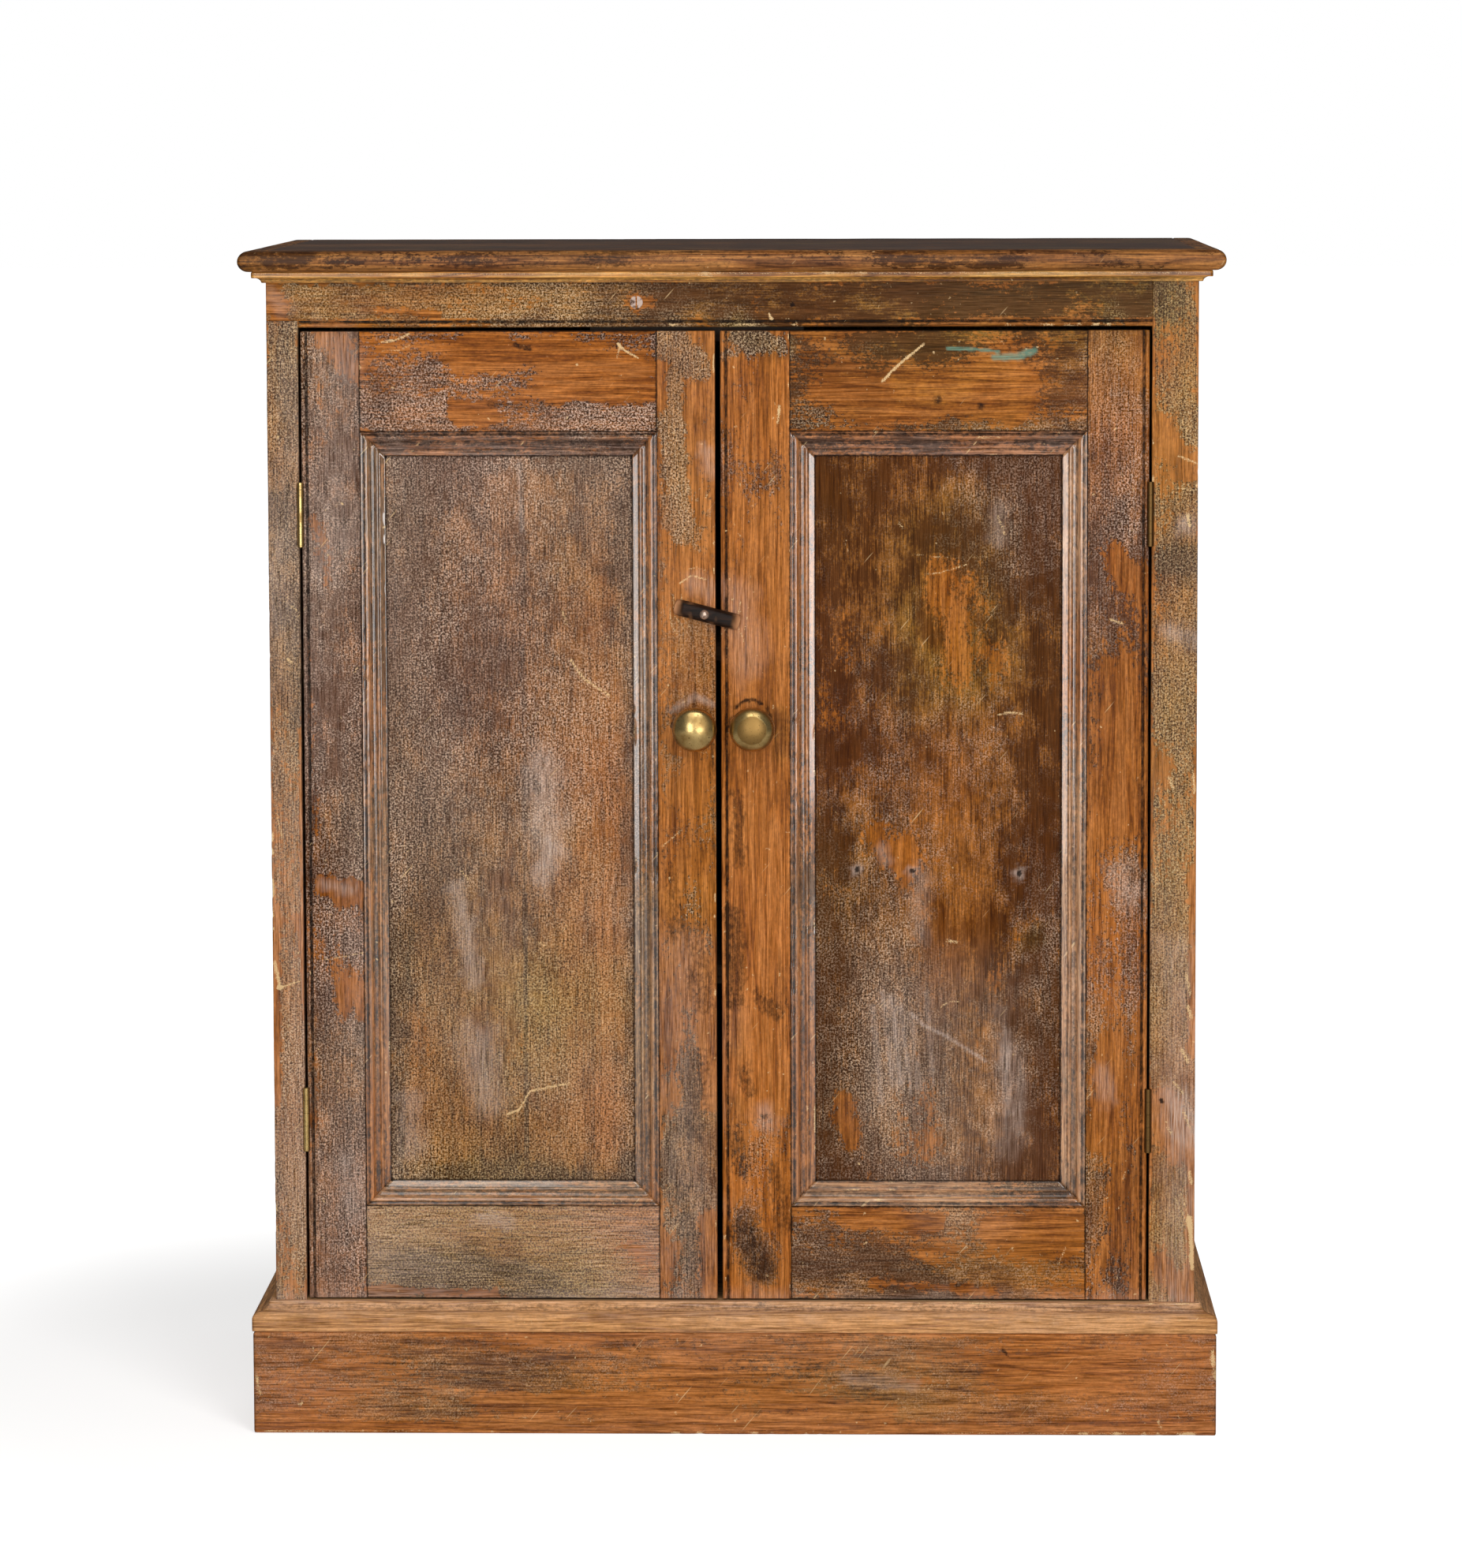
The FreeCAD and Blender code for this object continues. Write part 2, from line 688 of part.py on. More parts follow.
def build_frame():
    """The face frame: a narrow stile, a wide stile, a beaded top rail and a hidden lower rail."""
    hinge_levels = ("upper_hinge_z", "lower_hinge_z")
    front = "frame_tenon_front"
    back = "frame_tenon_front + frame_tenon_thickness"
    joint_level = "rail_bottom + beaded_edge"
    lower_low = "floor_level - lower_rail_height"

    left = new_body("frame_left_stile")
    section = sketch_on(left, "XY_Plane", "frame_left_stile_section")
    pad(left, rectangle(section, "0", "left_frame_stile_width", "0", "frame_thickness"), joint_level)
    tenon = sketch_on(left, "XY_Plane", "frame_left_stile_tenon")
    rectangle(tenon, "left_frame_stile_width / 4", "left_frame_stile_width * 3 / 4", front, back)
    pad(left, tenon, f"{joint_level} + frame_tenon_length")
    for level in hinge_levels:
        hinge_recess(left, "left_frame_stile_width", "-", "left_frame_" + level, level)
    hinge_pilot_holes(left, "left_frame_stile_width", "-", "left_frame_pilots", hinge_levels)
    mortise = sketch_on(left, "YZ_Plane", "frame_left_stile_mortise", "left_frame_stile_width")
    rectangle(mortise, front, back, lower_low, "floor_level")
    pocket(left, mortise, "frame_tenon_length")
    keep(place(left, "-half_width", "face_y", "0"))

    right = new_body("frame_right_stile")
    section = sketch_on(right, "XY_Plane", "frame_right_stile_section")
    pad(right, rectangle(section, "0", "right_frame_stile_width", "0", "frame_thickness"), "top_under")
    for level in hinge_levels:
        hinge_recess(right, "0", "+", "right_frame_" + level, level)
    hinge_pilot_holes(right, "0", "+", "right_frame_pilots", hinge_levels)
    mortises = sketch_on(right, "YZ_Plane", "frame_right_stile_mortises")
    rectangle(mortises, front, back, lower_low, "floor_level", "lower_")
    rectangle(mortises, front, back, joint_level, "top_under", "upper_")
    pocket(right, mortises, "frame_tenon_length", reverse=True)
    keep(place(right, "opening_right", "face_y", "0"))

    rail = new_body("frame_top_rail")
    section = [("bead_radius", "0", "bead_radius", "left"), ("0", "bead_radius", "bead_radius", "left")]
    section += [("bead_radius", "bead_width"), ("bead_radius", "beaded_edge"), ("0", "beaded_edge")]
    section += [("0", "top_rail_height"), ("frame_thickness", "top_rail_height"), ("frame_thickness", "0")]
    pad(rail, outline(sketch_on(rail, "YZ_Plane", "frame_top_rail_section"), section),
        "opening_width + left_frame_stile_width")
    tenon = sketch_on(rail, "YZ_Plane", "frame_top_rail_tenon")
    rectangle(tenon, front, back, "beaded_edge", "top_rail_height")
    pad(rail, tenon, "opening_width + left_frame_stile_width + frame_tenon_length")
    shoulder = sketch_on(rail, "XZ_Plane", "frame_top_rail_shoulder")
    rectangle(shoulder, "-cut_overrun", "left_frame_stile_width", "-cut_overrun", "beaded_edge")
    pocket(rail, shoulder)
    socket = sketch_on(rail, "XY_Plane", "frame_top_rail_socket", "beaded_edge")
    rectangle(socket, "left_frame_stile_width / 4", "left_frame_stile_width * 3 / 4", front, back)
    pocket(rail, socket, "frame_tenon_length", reverse=True)
    screws = sketch_on(rail, "XZ_Plane", "frame_top_rail_screw_holes")
    for side in ("left", "right"):
        circle(screws, f"rail_screw_{side}_x + half_width", "top_rail_height - rail_screw_drop",
               "rail_screw_diameter + 2 * screw_clearance", side + "_")
    countersunk_holes(rail, screws, "rail_screw", reverse=False)
    keep(place(rail, "-half_width", "face_y", "rail_bottom"))

    lower = new_body("frame_lower_rail")
    section = sketch_on(lower, "YZ_Plane", "frame_lower_rail_section")
    pad(lower, rectangle(section, "0", "frame_thickness", "0", "lower_rail_height"), "opening_width")
    tenon = sketch_on(lower, "YZ_Plane", "frame_lower_rail_tenon")
    rectangle(tenon, front, back, "0", "lower_rail_height")
    pad(lower, tenon, "opening_width + frame_tenon_length", "frame_tenon_length")
    keep(place(lower, "opening_left", "face_y", lower_low))


def door_stile(name, width, beaded, turn, hang, holes):
    """A door stile, its outer edge at its own X = 0, or turned over left to right.

    hang lets hinges into the outer edge; holes are (inset from the outer edge, height, diameter, depth).
    """
    groove = f"{width} - panel_groove_depth"
    corner = beaded_edge_points() if beaded else (("0", "0"),)
    section = corner + (
        (width, "0"),
        (width, "panel_setback"),
        (groove, "panel_setback"),
        (groove, "panel_back"),
        (width, "panel_back"),
        (width, "door_thickness"),
        ("0", "door_thickness"),
    )
    body = new_body(name)
    points = mirrored(section, width) if turn else section
    pad(body, outline(sketch_on(body, "XY_Plane", name + "_section"), points), "door_height")
    mortises = sketch_on(body, "YZ_Plane", name + "_mortises")
    rectangle(mortises, "panel_setback", "panel_back", "tenon_haunch",
              "door_bottom_rail_height - panel_groove_depth", "lower_")
    rectangle(mortises, "panel_setback", "panel_back",
              "door_height - door_top_rail_height + panel_groove_depth",
              "door_height - tenon_haunch", "upper_")
    pocket(body, mortises)
    edge = width if turn else "0"
    inward = "-" if turn else "+"
    if hang:
        levels = ("upper_hinge_z - door_bottom", "lower_hinge_z - door_bottom")
        for place_name, level in zip(("upper", "lower"), levels):
            hinge_recess(body, edge, inward, f"{name}_{place_name}_recess", level)
        hinge_pilot_holes(body, edge, inward, name + "_pilots", levels)
    for number, (inset, height, diameter, depth) in enumerate(holes):
        hole = sketch_on(body, "XZ_Plane", f"{name}_hole_{number}")
        pocket(body, circle(hole, f"{edge} {inward} ({inset})", height, diameter), depth)
    return body


def door_rail(name, height, opening, near_stile, far_stile, turn):
    """A door rail with tenons right through both stiles, its panel groove below, or above if turned."""
    section = (
        ("0", "0"),
        ("panel_setback", "0"),
        ("panel_setback", "panel_groove_depth"),
        ("panel_back", "panel_groove_depth"),
        ("panel_back", "0"),
        ("door_thickness", "0"),
        ("door_thickness", height),
        ("0", height),
    )
    tenon = (
        ("panel_setback", "panel_groove_depth"),
        ("panel_back", "panel_groove_depth"),
        ("panel_back", f"{height} - tenon_haunch"),
        ("panel_setback", f"{height} - tenon_haunch"),
    )
    if turn:
        section = flipped(section, height)
        tenon = flipped(tenon, height)
    body = new_body(name)
    pad(body, outline(sketch_on(body, "YZ_Plane", name + "_section"), section), opening)
    pad(body, outline(sketch_on(body, "YZ_Plane", name + "_tenon"), tenon),
        f"{opening} + {far_stile}", near_stile)
    return body


def panel_mould(name, length):
    """One side of the planted panel mould, its back on the panel, mitred inwards at both ends."""
    profile = []
    for across, up, *arc in PANEL_MOULD_SHARES:
        point = (f"panel_mould_width * {across}", f"panel_mould_height * {up}")
        if arc:
            point += (f"panel_mould_width * {arc[0]}", arc[1])
        profile.append(point)
    body = new_body(name)
    pad(body, outline(sketch_on(body, "YZ_Plane", name + "_profile"), profile), length)
    width = "panel_mould_width"
    start = sketch_on(body, "XY_Plane", name + "_start")
    pocket(body, outline(start, (("0", "0"), (width, width), ("0", width))))
    end = sketch_on(body, "XY_Plane", name + "_end")
    pocket(body, outline(end, ((length, "0"), (length, width), (f"{length} - {width}", width))))
    return body


def build_door(side, left_stile, right_stile, opening, left_x, stiles):
    """One panelled door: two stiles, two rails, a flat panel and four lengths of panel mould."""
    opening_x = f"{left_x} + {left_stile}"
    opening_end = f"{opening_x} + {opening}"
    sill = "door_bottom + door_bottom_rail_height"
    head = "door_top - door_top_rail_height"
    panel_face = "face_y + panel_setback"
    for stile, x in zip(stiles, (left_x, opening_end)):
        keep(place(stile, x, "face_y", "door_bottom"))
    top_rail = door_rail(f"{side}_door_top_rail", "door_top_rail_height", opening, left_stile,
                         right_stile, False)
    keep(place(top_rail, opening_x, "face_y", head))
    bottom_rail = door_rail(f"{side}_door_bottom_rail", "door_bottom_rail_height", opening, left_stile,
                            right_stile, True)
    keep(place(bottom_rail, opening_x, "face_y", "door_bottom"))
    tuck = "panel_groove_depth - panel_edge_gap"
    panel = box(f"{side}_door_panel", f"{opening} + 2 * ({tuck})", "panel_thickness",
                f"panel_opening_height + 2 * ({tuck})")
    keep(place(panel, f"{opening_x} - ({tuck})", panel_face, f"{sill} - ({tuck})"))
    lying = Rotation(Vector(1, 0, 0), 90)
    for edge, turn, length, x, z in (
            ("bottom", 0, opening, opening_x, sill),
            ("right", -90, "panel_opening_height", opening_end, sill),
            ("top", 180, opening, opening_end, head),
            ("left", 90, "panel_opening_height", opening_x, head)):
        mould = panel_mould(f"{side}_door_mould_{edge}", length)
        keep(place(mould, x, panel_face, z, Rotation(Vector(0, 1, 0), turn).multiply(lying)))


def build_doors():
    """The two doors. The left one is plain where they meet, the right one is beaded on both edges."""
    knob_hole = ("knob_height", "knob_spigot_diameter + 2 * screw_clearance", "knob_spigot_length")
    button_hole = ("button_inset", "button_height", "button_screw_diameter + 2 * screw_clearance",
                   "button_screw_length - button_reach")
    left_stiles = (
        door_stile("left_door_hanging_stile", "left_hanging_stile_width", True, False, True, ()),
        door_stile("left_door_meeting_stile", "left_meeting_stile_width", False, True, False,
                   (("left_knob_inset",) + knob_hole, button_hole)),
    )
    build_door("left", "left_hanging_stile_width", "left_meeting_stile_width", "left_opening_width",
               "left_door_x", left_stiles)
    right_stiles = (
        door_stile("right_door_meeting_stile", "right_meeting_stile_width", True, False, False,
                   (("right_knob_inset",) + knob_hole,)),
        door_stile("right_door_hanging_stile", "right_hanging_stile_width", True, True, True, ()),
    )
    build_door("right", "right_meeting_stile_width", "right_hanging_stile_width", "right_opening_width",
               "right_door_x", right_stiles)


def build_knobs():
    """Two turned knobs, each with a spigot let into its door."""
    dome_foot = f"knob_diameter / 2 * {KNOB_DOME_SHARES[0]}"
    dome_rise = f"knob_projection * (1 - {KNOB_DOME_SHARES[1]})"
    ball_radius = cap_radius(dome_foot, dome_rise)
    for side in ("left", "right"):
        name = side + "_knob"
        profile = [
            ("0", "knob_spigot_length"),
            ("knob_spigot_diameter / 2", "knob_spigot_length"),
            ("knob_spigot_diameter / 2", "0"),
        ]
        for across, out, *arc in KNOB_SHARES:
            point = (f"knob_diameter / 2 * {across}", f"-knob_projection * {out}" if out else "0")
            if arc:
                point += (f"knob_diameter * {arc[0]}", arc[1])
            profile.append(point)
        profile.append((dome_foot, f"-knob_projection * {KNOB_DOME_SHARES[1]}", ball_radius, "left"))
        profile.append(("0", "-knob_projection"))
        body = new_body(name)
        revolve(body, outline(sketch_on(body, "XY_Plane", name + "_profile"), profile))
        keep(place(body, f"{side}_knob_x", "face_y", "knob_z"))


def build_turn_button():
    """The wooden turn button with bevelled ends, and the round-headed screw it turns on."""
    left_reach = "button_length / 2 - button_off_centre"
    right_reach = "button_length / 2 + button_off_centre"
    front = "-button_clearance - button_thickness"
    end = "-button_clearance - button_end_thickness"
    body = new_body("turn_button")
    side_view = (
        (f"-({left_reach})", "-button_clearance"),
        (f"-({left_reach})", end),
        (f"button_bevel_length - ({left_reach})", front),
        (f"{right_reach} - button_bevel_length", front),
        (right_reach, end),
        (right_reach, "-button_clearance"),
    )
    side_outline = outline(sketch_on(body, "XY_Plane", "turn_button_side"), side_view)
    bar = pad(body, side_outline, "button_width", both=True)
    face = value(front)
    long_edges = []
    for number, edge in enumerate(bar.Shape.Edges, start=1):
        limits = edge.BoundBox
        on_face = abs(limits.Center.y - face) < value("button_clearance")
        if on_face and limits.XLength > value("button_length / 2"):
            long_edges.append(f"Edge{number}")
    softened = body.newObject("PartDesign::Fillet", "turn_button_soft_edges")
    softened.Base = (bar, long_edges)
    bind(softened, "Radius", "button_edge_radius")
    DOC.recompute()
    bore = sketch_on(body, "XZ_Plane", "turn_button_bore")
    pocket(body, circle(bore, "0", "0", "button_screw_diameter + 2 * button_bore_clearance"))
    keep(place(body, "button_x", "face_y", "button_z", Rotation(Vector(0, 1, 0), value("button_slope"))))
    bind(body, "Placement.Rotation.Angle", "button_slope")

    screw = new_body("turn_button_screw")
    head = "button_screw_head_diameter / 2"
    shank = "button_screw_diameter / 2"
    rise = "button_screw_head_height"
    profile = (
        ("0", f"-button_reach - {rise}", cap_radius(head, rise), "right"),
        (head, "-button_reach"),
        (shank, "-button_reach"),
        (shank, "button_screw_length - button_reach"),
        ("0", "button_screw_length - button_reach"),
    )
    revolve(screw, outline(sketch_on(screw, "XY_Plane", "turn_button_screw_profile"), profile))
    keep(place(screw, "button_x", "face_y", "button_z"))


def countersunk_screw(name, diameter, head_diameter, length):
    """A countersunk screw, its head's face at its own origin, its point along its own Z."""
    head_height = f"(({head_diameter}) - ({diameter})) / 2"
    head = DOC.addObject("Part::Cone", name + "_head")
    bind(head, "Radius1", f"({head_diameter}) / 2")
    bind(head, "Radius2", f"({diameter}) / 2")
    bind(head, "Height", head_height)
    shank = cylinder(name + "_shank", diameter, f"{length} - ({head_height})")
    place(shank, "0", "0", head_height)
    screw = DOC.addObject("Part::Fuse", name)
    screw.Base = head
    screw.Tool = shank
    return screw


def build_door_stop():
    """The stop batten behind the top rail and the two slotted screws that hold it."""
    start = "(rail_screw_left_x + rail_screw_right_x - stop_length) / 2"
    batten = new_body("door_stop_batten")
    section = sketch_on(batten, "YZ_Plane", "door_stop_section")
    pad(batten, rectangle(section, "0", "stop_thickness", "0", "stop_height"), "stop_length")
    holes = sketch_on(batten, "XZ_Plane", "door_stop_holes")
    for side in ("left", "right"):
        circle(holes, f"rail_screw_{side}_x - ({start})", "rail_screw_z - stop_bottom",
               "rail_screw_diameter + 2 * screw_clearance", side + "_")
    pocket(batten, holes)
    keep(place(batten, start, "frame_back_y", "stop_bottom"))

    blank = countersunk_screw("rail_screw_blank", "rail_screw_diameter", "rail_screw_head_diameter",
                              "rail_screw_length")
    slot = box("rail_screw_slot", "rail_screw_slot_width", "rail_screw_head_diameter",
               "rail_screw_slot_depth")
    place(slot, "-rail_screw_slot_width / 2", "-rail_screw_head_diameter / 2", "0")
    screw = DOC.addObject("Part::Cut", "rail_screw")
    screw.Base = blank
    screw.Tool = slot
    places = [(f"rail_screw_{side}_x", "face_y", "rail_screw_z") for side in ("left", "right")]
    group("rail_screws", copies("rail_screw_at", screw, places, Rotation(Vector(1, 0, 0), -90)))


def hinge_leaf(name, side, owned):
    """One leaf of a butt hinge about its own Z axis, on the side of the axis given by a sign.

    owned names the knuckles, counted from the bottom, that belong to this leaf.
    """
    body = new_body(name)
    near = f"{side} hinge_gap / 2"
    far = f"{side} (hinge_gap / 2 + hinge_leaf_thickness)"
    low, high = (far, near) if side == "-" else (near, far)
    plate = sketch_on(body, "XY_Plane", name + "_plate")
    rectangle(plate, low, high, "hinge_bore_diameter / 2", "hinge_axis_proud + hinge_leaf_width")
    pad(body, plate, "hinge_length", both=True)
    ring = sketch_on(body, "XY_Plane", name + "_ring")
    pad(body, circle(ring, "0", "0", "hinge_knuckle_diameter"), "hinge_length", both=True)
    bore = sketch_on(body, "XY_Plane", name + "_bore")
    pocket(body, circle(bore, "0", "0", "hinge_bore_diameter"))
    gaps = sketch_on(body, "YZ_Plane", name + "_gaps")
    for knuckle in range(KNUCKLES):
        if knuckle in owned:
            continue
        foot = f"hinge_length * ({knuckle} / {KNUCKLES} - 1 / 2)"
        foot += " - cut_overrun" if knuckle == 0 else " - hinge_knuckle_gap / 2"
        top = f"hinge_length * ({knuckle + 1} / {KNUCKLES} - 1 / 2)"
        top += " + cut_overrun" if knuckle == KNUCKLES - 1 else " + hinge_knuckle_gap / 2"
        rectangle(gaps, "-knuckle_room", "knuckle_room", foot, top, f"knuckle{knuckle}_")
    pocket(body, gaps)
    screws = sketch_on(body, "YZ_Plane", name + "_screws", near)
    for row in HINGE_SCREW_ROWS:
        height = f"({row}) * hinge_screw_pitch" if row else "0"
        circle(screws, "hinge_axis_proud + hinge_screw_setback", height,
               "hinge_screw_diameter + 2 * screw_clearance", f"row{row + 1}_")
    countersunk_holes(body, screws, "hinge_screw", reverse=side == "+")
    return body


def countersunk_holes(body, sketch, screw, reverse):
    """Holes right through a body for countersunk screws, at the circles of a sketch."""
    DOC.recompute()
    before = body.Shape.Volume
    hole = body.newObject("PartDesign::Hole", sketch.Name + "_holes")
    hole.Profile = sketch
    hole.DepthType = "ThroughAll"
    hole.Reversed = reverse
    bind(hole, "Diameter", f"{screw}_diameter + 2 * screw_clearance")
    hole.HoleCutType = "Countersink"
    bind(hole, "HoleCutDiameter", f"{screw}_head_diameter + 2 * screw_clearance")
    DOC.recompute()
    if not body.Shape.Volume < before:
        raise RuntimeError(f"{hole.Name} cuts nothing")


def build_hinges():
    """Four butt hinges: frame leaves, door leaves, pins and their screws."""
    frame_leaf = hinge_leaf("frame_leaf", "-", (0, 2, 4))
    door_leaf = hinge_leaf("door_leaf", "+", (1, 3))
    over = Rotation(Vector(0, 1, 0), 180)
    levels = ("upper_hinge_z", "lower_hinge_z")
    left = [("left_hinge_x", "hinge_axis_y", level) for level in levels]
    right = [("right_hinge_x", "hinge_axis_y", level) for level in levels]
    group("frame_hinge_leaves", copies("frame_leaf_left", frame_leaf, left)
          + copies("frame_leaf_right", frame_leaf, right, over))
    group("left_door_hinge_leaves", copies("door_leaf_left", door_leaf, left))
    group("right_door_hinge_leaves", copies("door_leaf_right", door_leaf, right, over))
    pin = cylinder("hinge_pin", "hinge_pin_diameter", "hinge_length")
    feet = [(x, y, f"{level} - hinge_length / 2") for x, y, level in left + right]
    group("hinge_pins", copies("hinge_pin_at", pin, feet))

    screw = countersunk_screw("hinge_screw", "hinge_screw_diameter", "hinge_screw_head_diameter",
                              "hinge_screw_length")
    towards_left = Rotation(Vector(0, 1, 0), -90)
    towards_right = Rotation(Vector(0, 1, 0), 90)
    heights = [height for level in levels for height in hinge_screw_heights(level)]

    def screws_at(name, x, turn):
        places = [(x, "face_y + hinge_screw_setback", height) for height in heights]
        return copies(name, screw, places, turn)

    group("frame_hinge_screws", screws_at("frame_screw_left", "opening_left", towards_left)
          + screws_at("frame_screw_right", "opening_right", towards_right))
    group("left_door_hinge_screws", screws_at("door_screw_left", "left_door_x", towards_right))
    group("right_door_hinge_screws", screws_at("door_screw_right", "right_door_end", towards_left))


def main():
    """Build every sub-part, test the document and write the sub-parts."""
    fill_sheets()
    build_sides()
    build_floor_and_shelves()
    build_back()
    build_top()
    build_plinth()
    build_frame()
    build_doors()
    build_knobs()
    build_turn_button()
    build_door_stop()
    build_hinges()
    DOC.recompute()
    for item in DOC.Objects:
        if "Invalid" in item.State or "Error" in item.State:
            raise RuntimeError(f"{item.Label} failed: {item.State}")
    os.makedirs("parts", exist_ok=True)
    for item in PARTS:
        if item.Shape.isNull() or not item.Shape.isValid():
            raise RuntimeError(f"{item.Label} has no valid shape")
        item.Shape.exportStep(os.path.join("parts", item.Label + ".step"))
        print(item.Label, len(item.Shape.Solids), round(item.Shape.Volume))


main()
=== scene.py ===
"""Looks of a two-door panelled pine cupboard: worn varnish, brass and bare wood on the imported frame.

Every length is in metres in the shared frame: +Z up, the front looks along -Y, the floor is at Z = 0.
Wooden pieces that show are grid surfaces worked out here; ironwork and inner boards are the frame's own.
"""
from __future__ import annotations

import json
import logging
import math
from dataclasses import dataclass, field
from enum import Enum
from typing import Any

import bpy
import numpy as np
from mathutils import Matrix, Vector

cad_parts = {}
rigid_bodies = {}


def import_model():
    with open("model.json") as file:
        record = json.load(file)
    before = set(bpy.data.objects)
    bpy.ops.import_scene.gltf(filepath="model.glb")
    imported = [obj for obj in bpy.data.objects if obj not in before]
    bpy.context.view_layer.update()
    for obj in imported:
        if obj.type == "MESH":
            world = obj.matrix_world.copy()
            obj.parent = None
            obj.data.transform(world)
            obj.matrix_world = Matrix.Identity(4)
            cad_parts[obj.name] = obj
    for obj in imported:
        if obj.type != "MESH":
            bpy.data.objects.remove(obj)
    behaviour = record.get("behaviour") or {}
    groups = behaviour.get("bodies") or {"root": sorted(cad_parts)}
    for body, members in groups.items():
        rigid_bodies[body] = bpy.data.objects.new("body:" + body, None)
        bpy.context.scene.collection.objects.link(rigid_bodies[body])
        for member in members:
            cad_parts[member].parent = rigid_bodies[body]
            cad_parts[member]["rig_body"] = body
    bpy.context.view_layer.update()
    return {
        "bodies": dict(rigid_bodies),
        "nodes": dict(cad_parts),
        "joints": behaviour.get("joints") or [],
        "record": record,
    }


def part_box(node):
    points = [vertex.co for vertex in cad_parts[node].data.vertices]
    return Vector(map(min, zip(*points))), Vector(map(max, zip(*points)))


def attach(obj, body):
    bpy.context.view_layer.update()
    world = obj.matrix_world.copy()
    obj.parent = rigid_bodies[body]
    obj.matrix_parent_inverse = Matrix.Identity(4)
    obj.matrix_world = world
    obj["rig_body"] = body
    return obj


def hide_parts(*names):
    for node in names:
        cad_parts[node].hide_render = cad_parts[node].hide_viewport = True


LOG = logging.getLogger("cupboard")
Array = np.ndarray
Socket = bpy.types.NodeSocket
MM = 0.001
FRONT_DEPTH = -0.19
# how a stroke's outline is shaken, and how far beyond its width a scratch falls to nothing
SHAKE = 0.45
LEAST_SHAKE_MM = 3.0
SCRATCH_FALL_MM = 1.4
# how far a bend in a section spreads, the turn in radians that makes a full rim, and the spread of dirt
BEND_SPREAD = 2.0 * MM
FULL_BEND = 1.2
DIRT_REACH = 0.9 * MM
# how dark the hollows of a section are made, in the grime colour: painted shade
HOLLOW_SHADE = 0.85


def linear(colour: str) -> tuple[float, float, float, float]:
    """Turn an sRGB hex colour into linear light.

    Args:
        colour: a colour such as "#a85f22".

    Returns:
        Linear red, green and blue, and an alpha of 1.
    """
    channels = [int(colour[start:start + 2], 16) / 255 for start in (1, 3, 5)]
    light = [c / 12.92 if c <= 0.04045 else ((c + 0.055) / 1.055) ** 2.4 for c in channels]
    return light[0], light[1], light[2], 1.0


def per_metre(size_mm: float) -> float:
    """The pattern scale, in repeats per metre, of a feature of this size in millimetres."""
    return 1000.0 / size_mm


def ease(low: float, high: float, value: Array) -> Array:
    """Rise from 0 at low to 1 at high along 3 s^2 - 2 s^3, where s is the clipped share of the way."""
    share = np.clip((value - low) / (high - low), 0.0, 1.0)
    return share * share * (3.0 - 2.0 * share)


def drift(points: Array, size: float, seed: int) -> Array:
    """Soft random change over space, from -1 to 1.

    Each corner of a cubic lattice has a hashed random value, and a point blends the eight round it by
    eased shares of its place in the cell.

    Args:
        points: places, as an array whose last axis is x, y, z.
        size: spacing of the lattice.
        seed: which random field.

    Returns:
        One value for each place.
    """
    cell = points / size + seed * 17.31
    base = np.floor(cell).astype(np.int64)
    share = cell - base
    share = share * share * (3.0 - 2.0 * share)
    total = np.zeros(points.shape[:-1])
    for corner in np.ndindex(2, 2, 2):
        step = np.array(corner)
        key = (base + step) @ np.array([73856093, 19349663, 83492791]) + seed * 265443576
        key = (key ^ (key >> 13)) * 1274126177 & 0x7FFFFFFF
        weight = np.where(step == 1, share, 1.0 - share).prod(axis=-1)
        total += weight * (key % 20011 / 10005.0 - 1.0)
    return total


class Axis(Enum):
    """An axis of the shared frame."""

    ACROSS = 0
    DEEP = 1
    UPRIGHT = 2


class Mark(Enum):
    """What a stroke of use or age does to the varnish; bloom is partly painted sheen and grime partly painted
    shade. The value is the surface value that it adds to.
    """

    WORN = "wear"
    THICK = "crust"
    DARK = "dark"
    OLIVE = "olive"
    # whitish haze, partly a painted sheen of the lamps
    BLOOM = "bloom"
    SCRATCH = "bare"
    # dirt at joints, holes and ends, and also painted shade in the hollows of sections and at the foot of the
    # moulds
    GRIME_AND_SHADE = "grime"
    SMEAR = "smear"


SOFT_MARKS = (Mark.WORN, Mark.THICK, Mark.DARK, Mark.OLIVE, Mark.BLOOM)


